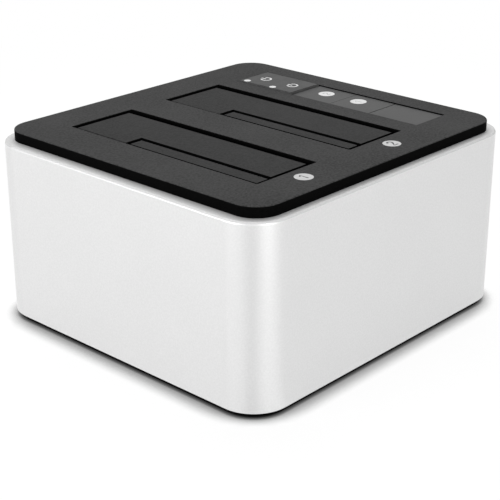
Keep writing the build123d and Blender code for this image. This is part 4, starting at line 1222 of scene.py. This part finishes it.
@dataclass
class DriveBay:
    """One bay: its well, both flaps, their pins and springs, and the drive connector."""

    number: int
    free_edge_trim: float
    front_edge_trim: float
    end_reach: float = 0.5 * MM
    level_slack: float = 0.05 * MM
    notch_shift: float = 1.6 * MM
    notch_reach: Point2 = (1.0 * MM, 2.5 * MM)
    nested_step: float = 0.35 * MM
    hinge_round: float = 0.6 * MM
    contact_rows: tuple[tuple[str, int, float], ...] = (("power", 15, -15.6 * MM), ("data", 7, 7.6 * MM))
    contact_pitch: float = 1.27 * MM
    contact_size: Point3 = (0.25 * MM, 0.7 * MM, 5.2 * MM)
    contact_inset: float = 1.1 * MM
    contact_drop: float = 3.2 * MM

    def build(self) -> None:
        """Dresses the bay's pieces and adds its springs and contacts."""
        number = self.number
        dressed_node(f"drive_well_{number}", f"well_{number}")
        flap = self._hinge_rounding(cad_copy(f"large_flap_{number}", f"flap_{number}"))
        seat(flap, NODE_BODIES[f"large_flap_{number}"], None, (f"large_flap_{number}",))
        self._nested_flap()
        dressed_node(f"hinge_pin_{number}", f"flap_pin_{number}")
        dressed_node(f"small_hinge_pin_{number}", f"nested_flap_pin_{number}")
        dressed_node(f"receptacle_{number}", f"drive_connector_{number}", 0.15)
        self._springs()
        self._contacts()

    def _nested_flap(self) -> None:
        """Dresses the nested flap, whose top lies a little under the large flap's and whose free edge is trimmed."""
        node = f"small_flap_{self.number}"
        flap = cad_copy(node, f"nested_flap_{self.number}")
        low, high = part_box(node)
        for vert in flap.data.vertices:
            if vert.co.x < low.x + self.end_reach:
                vert.co.x += self.free_edge_trim
            if vert.co.y < low.y + self.end_reach:
                vert.co.y += self.front_edge_trim
            if vert.co.y > high.y - self.level_slack:
                vert.co.y += self.notch_shift
            if vert.co.z > high.z - self.level_slack:
                vert.co.z -= self.nested_step
        # The flap's upright faces are painted nearly black: painted shade in the gaps round it.
        paint_upright_shade(flap, RECESS_SHADED_ABS, SHADE_PAINTED_ABS)
        seat(flap, NODE_BODIES[node], None, (node,))

    def _hinge_rounding(self, flap: Piece) -> Piece:
        """Moves the notch's end wall, rounds the long edge beside the hinge and gives the flap its finishes; the
        rounding is painted nearly black as painted shade of the hinge gap.

        Args:
            flap: The copied large flap.

        Returns:
            The same flap.
        """
        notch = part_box(f"small_flap_{self.number}")[1]
        reach_x, reach_y = self.notch_reach
        for vert in flap.data.vertices:
            if vert.co.x < notch.x + reach_x and 0.0 < vert.co.y - notch.y < reach_y:
                vert.co.y += self.notch_shift
        form = bmesh.new()
        form.from_mesh(flap.data)
        top = max(v.co.z for v in form.verts) - self.level_slack
        far = max(v.co.x for v in form.verts if v.co.z > top) - self.level_slack
        edges = [e for e in form.edges if all(v.co.z > top and v.co.x > far for v in e.verts)]
        rounding = bmesh.ops.bevel(
            form, geom=edges, offset=self.hinge_round, segments=3, profile=0.5, affect="EDGES"
        )
        bmesh.ops.recalc_face_normals(form, faces=form.faces)
        form.faces.index_update()
        rounded = {face.index for face in rounding["faces"]}
        form.to_mesh(flap.data)
        form.free()
        paint_upright_shade(flap, RECESS_SHADED_ABS, SHADE_PAINTED_ABS)
        # The rounding beside the hinge takes the nearly black finish: painted shade where the edge falls into the gap.
        for face in flap.data.polygons:
            if face.index in rounded:
                face.material_index = 1
        return flap

    def _springs(self) -> None:
        """Winds the springs of both flaps; each pushes its flap with one leg and rests on its holder with the other."""
        number = self.number
        TorsionSpring(
            f"flap_spring_{number}",
            f"large_flap_{number}",
            f"hinge_pin_{number}",
            wire=0.75 * MM,
            radius=1.5 * MM,
            pushing_leg=((-0.42 * MM, -1.4 * MM), (-11.4 * MM, 2.0 * MM), (-12.0 * MM, 1.9 * MM)),
            resting_leg=((1.5 * MM, 0.0), (2.15 * MM, -7.3 * MM), (2.0 * MM, -7.9 * MM)),
        ).build()
        TorsionSpring(
            f"small_flap_spring_{number}",
            f"small_flap_{number}",
            f"small_hinge_pin_{number}",
            wire=0.5 * MM,
            radius=1.12 * MM,
            pushing_leg=((0.0, -1.12 * MM), (-6.0 * MM, -1.0 * MM), (-6.4 * MM, -1.1 * MM)),
            resting_leg=((1.12 * MM, 0.0), (5.6 * MM, 1.3 * MM), (6.0 * MM, 1.3 * MM)),
            leg_shift=1.9,
        ).build()

    def _contacts(self) -> None:
        """Sets gold contacts along the walls of the power and data slots."""
        connector = f"receptacle_{self.number}"
        middle, top = middle_of(connector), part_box(connector)[1].z
        for kind, count, start in self.contact_rows:
            place = (middle.x - self.contact_inset, middle.y + start, top - self.contact_drop)
            step = (0.0, self.contact_pitch, 0.0)
            row = BarRow(f"{kind}_contacts_{self.number}", count, place, step, self.contact_size, GOLD_FLASH)
            seat(row.build(), "case", None)


@dataclass
class ControlStrip:
    """The strip beside the second bay: bare plate, two power keys and the window of the lamps."""

    key_marks: tuple[Point2, Point2] = ((55.9 * MM, -11.8 * MM), (55.9 * MM, 6.4 * MM))
    key_mark_radius: float = 3.65 * MM
    digit_height: float = 3.2 * MM
    cap_overhang: float = 0.09 * MM
    cap_thickness: float = 1.0 * MM
    cap_rise: float = 0.01 * MM
    cap_edge: float = 0.12 * MM
    # The band of painted shadow round the window: its insets, corner and lift.
    border: Point2 = (0.1 * MM, 0.5 * MM)
    border_corner: float = 0.2 * MM
    shadow_lift: float = 0.02 * MM
    lamp_dots: tuple[Point2, Point2] = ((45.9 * MM, 45.6 * MM), (45.8 * MM, 29.9 * MM))
    lamp_dot_radius: float = 1.6 * MM
    power_signs: tuple[Point2, Point2] = ((53.8 * MM, 41.0 * MM), (53.7 * MM, 24.8 * MM))
    power_sign_radius: float = 2.3 * MM
    power_sign_stroke: float = 0.75 * MM

    def build(self) -> None:
        """Dresses the strip's pieces and prints its marks."""
        dressed_node("strip_plate", "strip_segment", 0.3)
        dressed_node("led_window", "lamp_window", 0.1, 30.0)
        # Painted shadow round the window's edge.
        self._window_edge_shadow()
        dressed_node("light_guide", "light_pipes", 0.2)
        window_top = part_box("led_window")[1].z
        rows = zip(self.key_marks, self.lamp_dots, self.power_signs)
        for number, (key_place, dot_place, sign_place) in enumerate(rows, 1):
            key = f"power_key_{number}"
            dressed_node(key, f"key_{number}", 0.15)
            self._cap(number)
            dressed_node(f"tact_switch_{number}", f"key_switch_{number}", 0.2)
            key_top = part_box(key)[1].z
            mark = printed_disc(f"key_mark_{number}", key_place, key_top, self.key_mark_radius)
            seat(mark, key, WHITE_INK)
            digit = printed_digit(f"key_digit_{number}", str(number), key_place, key_top + INK, self.digit_height)
            seat(digit, key, GREY_INK)
            dot = printed_disc(f"lamp_dot_{number}", dot_place, window_top, self.lamp_dot_radius)
            seat(dot, "case", WHITE_INK)
            size = (self.power_sign_radius, self.power_sign_stroke)
            sign = power_sign(f"power_sign_{number}", sign_place, window_top, *size)
            seat(sign, "case", WHITE_INK)

    def _window_edge_shadow(self) -> None:
        """Paints a black band round the window's edge as painted shadow of the step and gap beside it."""
        low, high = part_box("led_window")
        edge, inner = self.border
        shadow_z = high.z + self.shadow_lift
        levels = []
        for inset, z in ((inner, high.z), (edge, high.z), (edge, shadow_z), (inner, shadow_z)):
            outline = Opening(low.x + inset, high.x - inset, low.y + inset, high.y - inset, self.border_corner)
            levels.append((outline.loop(), z))
        seat(lofted("window_border", levels, closed=True), "case", WINDOW_EDGE_SHADOW)

    def _cap(self, number: int) -> None:
        """Caps a key with a face that nearly closes the seams to its neighbours.

        Args:
            number: The key's number.
        """
        low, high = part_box(f"power_key_{number}")
        left, right = (corner.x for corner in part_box("strip_plate"))
        front, rear = low.y - self.cap_overhang, high.y + self.cap_overhang
        edge, top = self.cap_edge, high.z + self.cap_rise
        levels = []
        for shrink, drop in ((0.0, self.cap_thickness), (0.0, edge), (0.3 * edge, 0.3 * edge), (edge, 0.0)):
            x0, x1, y0, y1 = left + shrink, right - shrink, front + shrink, rear - shrink
            levels.append(([(x0, y0), (x1, y0), (x1, y1), (x0, y1)], top - drop))
        seat(soften(lofted(f"key_cap_{number}", levels), 0.0), f"power_key_{number}", SATIN_ABS)


@dataclass
class RearPanel:
    """The inset rear panel with its mains inlet and data port."""

    contact_rises: tuple[tuple[str, float], ...] = (("upper", 5.85 * MM), ("lower", 2.95 * MM))
    contact_pitch: float = 2.5 * MM
    contact_size: Point3 = (1.0 * MM, 6.6 * MM, 0.16 * MM)
    contact_inset: float = 5.2 * MM

    def build(self) -> None:
        """Dresses the panel and its sockets, and adds the port's contacts."""
        dressed_node("rear_panel", "socket_panel", 0.25, 60.0)
        dressed_node("ac_inlet", "mains_inlet", 0.3)
        dressed_node("usb_port", "data_port", 0.25)
        low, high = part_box("usb_port")
        x, y = (low.x + high.x) / 2 - self.contact_pitch / 2, high.y - self.contact_inset
        for label, rise in self.contact_rises:
            place, step = (x, y, low.z + rise), (self.contact_pitch, 0.0, 0.0)
            row = BarRow(f"port_contacts_{label}", 2, place, step, self.contact_size, GOLD_FLASH)
            seat(row.build(), "case", None)


@dataclass
class Electronics:
    """The boards and what they carry, inside the case."""

    plain: tuple[str, ...] = (
        *("main_board", "power_board", "control_board", "bridge_chips", "chip_heat_sink", "power_heat_sink"),
        *("insulator_sheet", "board_capacitors", "mains_choke", "transformer", "indicator_leds"),
        *("ribbon_cable", "mains_leads", "low_voltage_leads"),
        *("board_screws", "plate_screws", "well_screws", "control_screws"),
    )
    round_parts: tuple[str, ...] = ("bulk_capacitor", "output_capacitors")
    choke_limb: float = 4.4 * MM
    choke_turns: int = 9
    choke_wire: float = 0.7 * MM
    choke_turn_corner: float = 1.0 * MM
    choke_rise: float = 0.1 * MM
    tape_width: float = 18.3 * MM
    tape_corner: float = 4.2 * MM
    tape_edge: Point2 = (0.2 * MM, 0.3 * MM)
    tape_ends: Point2 = (6.8 * MM, 3.8 * MM)

    def build(self) -> None:
        """Dresses the boards' parts and winds the choke and the transformer."""
        for node in self.plain:
            dressed_node(node, f"inner_{node}", 0.15)
        for node in self.round_parts:
            dressed_node(node, f"inner_{node}", 0.5, 60.0)
        self._choke_windings()
        self._winding_tape()

    def _choke_windings(self) -> None:
        """Winds enamelled wire round both wound limbs of the choke."""
        low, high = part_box("mains_choke")
        centre, wire = middle_of("mains_choke"), self.choke_wire
        reach = (high.y - low.y - self.choke_limb) / 2
        for number, side in enumerate((-1, 1), 1):
            winding = LoopRow(
                f"choke_winding_{number}",
                self.choke_turns,
                (centre.x + side * reach, centre.y, centre.z + self.choke_rise),
                step=(0.0, wire, 0.0),
                width=self.choke_limb + 3 * wire,
                height=high.z - low.z - 2 * self.choke_rise,
                corner=self.choke_turn_corner,
                wire=wire,
                turned=(math.radians(90), 0.0, 0.0),
                finish=ENAMELLED_COPPER,
            )
            seat(winding.build(), "case", None)

    def _winding_tape(self) -> None:
        """Wraps the transformer's winding in tape."""
        low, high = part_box("transformer")
        centre = middle_of("transformer")
        z0, z1 = low.z + self.tape_ends[0], high.z - self.tape_ends[1]
        fold, rise = self.tape_edge
        levels = []
        for inset, z in ((fold, z0), (0.0, z0 + rise), (0.0, z1 - rise), (fold, z1)):
            size, corner = self.tape_width - 2 * inset, self.tape_corner - inset
            levels.append((rounded_loop(size, size, corner, 8, (centre.x, centre.y)), z))
        seat(soften(lofted("winding_tape", levels), 0.0), "case", WINDING_TAPE)


@dataclass(frozen=True)
class Lamp:
    """A soft area lamp that points at the object, placed by its bearing."""

    name: str
    bearing: float
    rise: float
    distance: float
    size: Point2
    watts: float
    aim_z: float = 40 * MM

    def hang(self) -> None:
        """Adds the lamp, turned towards the middle of the object."""
        light = bpy.data.lights.new(self.name, "AREA")
        light.shape = "RECTANGLE"
        light.size, light.size_y = self.size
        light.energy = self.watts
        lamp = new_object(self.name, light)
        bearing, rise = math.radians(self.bearing), math.radians(self.rise)
        away = Vector((math.cos(rise) * math.cos(bearing), math.cos(rise) * math.sin(bearing), math.sin(rise)))
        lamp.location = Vector((0.0, 0.0, self.aim_z)) + self.distance * away
        lamp.rotation_euler = (-away).to_track_quat("-Z", "Y").to_euler()


@dataclass(frozen=True)
class ReflectionWedge:
    """A glowing wedge on the floor that lights nothing and only shows in reflections: a painted reflection band in the
    shell's rounded near corner, whose brightness its tone sets.
    """

    name: str
    from_bearing: float
    to_bearing: float
    tone: float
    inner: float = 20 * MM
    outer: float = 700 * MM
    height: float = 0.3 * MM

    def lay(self, axis: Point2) -> None:
        """Lays the card so that it points away from the axis of the rounded corner.

        Args:
            axis: The corner's axis, seen from above.
        """
        first, last = math.radians(self.from_bearing), math.radians(self.to_bearing)
        ends = ((self.inner, first), (self.outer, first), (self.outer, last), (self.inner, last))
        corners = [(axis[0] + r * math.cos(b), axis[1] + r * math.sin(b), self.height) for r, b in ends]
        mesh = bpy.data.meshes.new(self.name)
        mesh.from_pydata(corners, [], [(0, 1, 2, 3)])
        card = new_object(self.name, mesh)
        material = fresh_material(self.name)
        tree = material.node_tree
        glow = add_node(tree, "ShaderNodeEmission", {"Color": WHITE, "Strength": self.tone})
        add_node(tree, "ShaderNodeOutputMaterial", {"Surface": glow})
        mesh.materials.append(material)
        card.visible_camera = card.visible_diffuse = card.visible_shadow = card.visible_transmission = False


@dataclass
class Studio:
    """White floor and surroundings, soft lamps and the camera."""

    camera_place: Point3 = (-388.76 * MM, -355.82 * MM, 245.48 * MM)
    camera_back: Point3 = (-0.6791, -0.6247, 0.3856)
    lens_mm: float = 94.57
    sensor_mm: float = 36.0
    clip: Point2 = (0.01, 30.0)
    world_light: float = 0.45
    floor_size: float = 8.0
    floor_tone: float = 0.92
    floor_glow: float = 0.9
    glow_reach: Point2 = (160 * MM, 500 * MM)
    painted_shadow_reach: float = 16 * MM
    painted_shadow_depth: float = 2.6
    open_from: float = 0.75
    # Painted reflections: one wedge draws a darker band and the other a brighter band down the shell's near corner.
    reflection_wedges: tuple[ReflectionWedge, ...] = (
        ReflectionWedge("dark_card", -155.0, -130.0, 0.86),
        ReflectionWedge("light_card", -116.0, -75.0, 1.12),
    )
    lamps: tuple[Lamp, ...] = (
        Lamp("overhead_softbox", 45.0, 62.0, 0.75, (0.7, 0.7), 4.6),
        Lamp("left_softbox", 165.0, 12.0, 1.0, (0.8, 0.3), 8.1),
        Lamp("front_softbox", -106.0, 12.0, 0.8, (0.2, 0.3), 3.7),
    )

    def build(self) -> None:
        """Sets up the studio."""
        bpy.context.scene.view_settings.view_transform = "Standard"
        self._world()
        self._floor()
        for lamp in self.lamps:
            lamp.hang()
        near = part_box("case_shell")[0]
        for card in self.reflection_wedges:
            card.lay((near.x + Casing.corner, near.y + Casing.corner))
        self._camera()

    def _world(self) -> None:
        """Makes the surroundings white to the eye and in reflections, and a plain light elsewhere."""
        world = bpy.data.worlds.new("studio_world")
        world.use_nodes = True
        tree = world.node_tree
        tree.nodes.clear()
        white = add_node(tree, "ShaderNodeBackground", {"Color": WHITE, "Strength": 1.0})
        plain = add_node(tree, "ShaderNodeBackground", {"Color": WHITE, "Strength": self.world_light})
        mix = add_node(tree, "ShaderNodeMixShader", {0: self._seen(tree), 1: plain, 2: white})
        add_node(tree, "ShaderNodeOutputWorld", {"Surface": mix})
        bpy.context.scene.world = world

    @staticmethod
    def _seen(tree: Tree) -> Node:
        """Tells which rays see the white surroundings.

        Args:
            tree: The nodes of the world or the floor.

        Returns:
            A node that gives 1 for rays from the camera, reflections and clear pieces.
        """
        path = add_node(tree, "ShaderNodeLightPath").outputs
        first = {0: path["Is Camera Ray"], 1: path["Is Glossy Ray"]}
        both = {0: add_node(tree, "ShaderNodeMath", first, operation="MAXIMUM"), 1: path["Is Transmission Ray"]}
        return add_node(tree, "ShaderNodeMath", both, operation="MAXIMUM")

    def _floor(self) -> None:
        """Lays a matt white floor that keeps part of the object's real shadow and carries a painted contact shadow at
        its foot.
        """
        half = self.floor_size / 2
        mesh = bpy.data.meshes.new("studio_floor")
        mesh.from_pydata([(-half, -half, 0), (half, -half, 0), (half, half, 0), (-half, half, 0)], [], [(0, 1, 2, 3)])
        floor = new_object("studio_floor", mesh)
        material = fresh_material("white_studio_floor")
        tree = material.node_tree
        # Painted contact shadow: ambient occlusion darkens the floor's glow and paint in the last centimetre before the
        # object's foot
        near = add_node(tree, "ShaderNodeAmbientOcclusion", {"Distance": self.painted_shadow_reach}, samples=16)
        clear = add_node(tree, "ShaderNodeMapRange", {"Value": near.outputs["AO"], "From Max": self.open_from})
        painted_shadow = add_node(tree, "ShaderNodeMath", {0: clear, 1: self.painted_shadow_depth}, operation="POWER")
        seen = add_node(tree, "ShaderNodeLightPath").outputs["Is Camera Ray"]
        unseen = add_node(tree, "ShaderNodeMath", {0: 1.0, 1: seen}, operation="SUBTRACT")
        strength = add_node(tree, "ShaderNodeMath", {0: painted_shadow, 1: unseen}, operation="MAXIMUM")
        tones = {"Factor": strength, 6: BLACK, 7: (*(self.floor_tone,) * 3, 1.0)}
        white = add_node(tree, "ShaderNodeMix", tones, data_type="RGBA")
        paint = add_node(tree, "ShaderNodeBsdfDiffuse", {"Color": white.outputs[2]})
        glow = add_node(tree, "ShaderNodeEmission", {"Color": WHITE, "Strength": strength})
        share = add_node(tree, "ShaderNodeMath", {0: self._seen(tree), 1: self._glow_share(tree)}, operation="MULTIPLY")
        mix = add_node(tree, "ShaderNodeMixShader", {0: share, 1: paint, 2: glow})
        add_node(tree, "ShaderNodeOutputMaterial", {"Surface": mix})
        mesh.materials.append(material)

    def _glow_share(self, tree: Tree) -> Node:
        """How much of the floor glows by itself: some near the object, all far from it.

        Args:
            tree: The floor material's nodes.

        Returns:
            A node that gives the near share to 1.
        """
        place = add_node(tree, "ShaderNodeTexCoord").outputs["Object"]
        away = add_node(tree, "ShaderNodeVectorMath", {0: place}, operation="LENGTH").outputs["Value"]
        near, far = self.glow_reach
        reach = {"Value": away, "From Min": near, "From Max": far, "To Min": self.floor_glow}
        return add_node(tree, "ShaderNodeMapRange", reach, interpolation_type="SMOOTHSTEP")

    def _camera(self) -> None:
        """Places the camera at the photograph's viewpoint."""
        data = bpy.data.cameras.new("camera")
        data.lens = self.lens_mm
        data.sensor_width = self.sensor_mm
        data.clip_start, data.clip_end = self.clip
        camera = new_object("camera", data)
        camera.location = self.camera_place
        camera.rotation_euler = Vector(self.camera_back).to_track_quat("Z", "Y").to_euler()
        bpy.context.scene.camera = camera


def main() -> None:
    """Builds the station's sub-assemblies and the studio."""
    logging.basicConfig(level=logging.INFO, format="%(name)s: %(message)s")
    for assembly in (
        Casing(),
        Lid(),
        DriveBay(1, free_edge_trim=0.9 * MM, front_edge_trim=0.0),
        DriveBay(2, free_edge_trim=1.4 * MM, front_edge_trim=0.45 * MM),
        ControlStrip(),
        RearPanel(),
        Electronics(),
        Studio(),
    ):
        LOG.info("building %s", type(assembly).__name__)
        assembly.build()


if __name__ == "__main__":
    main()
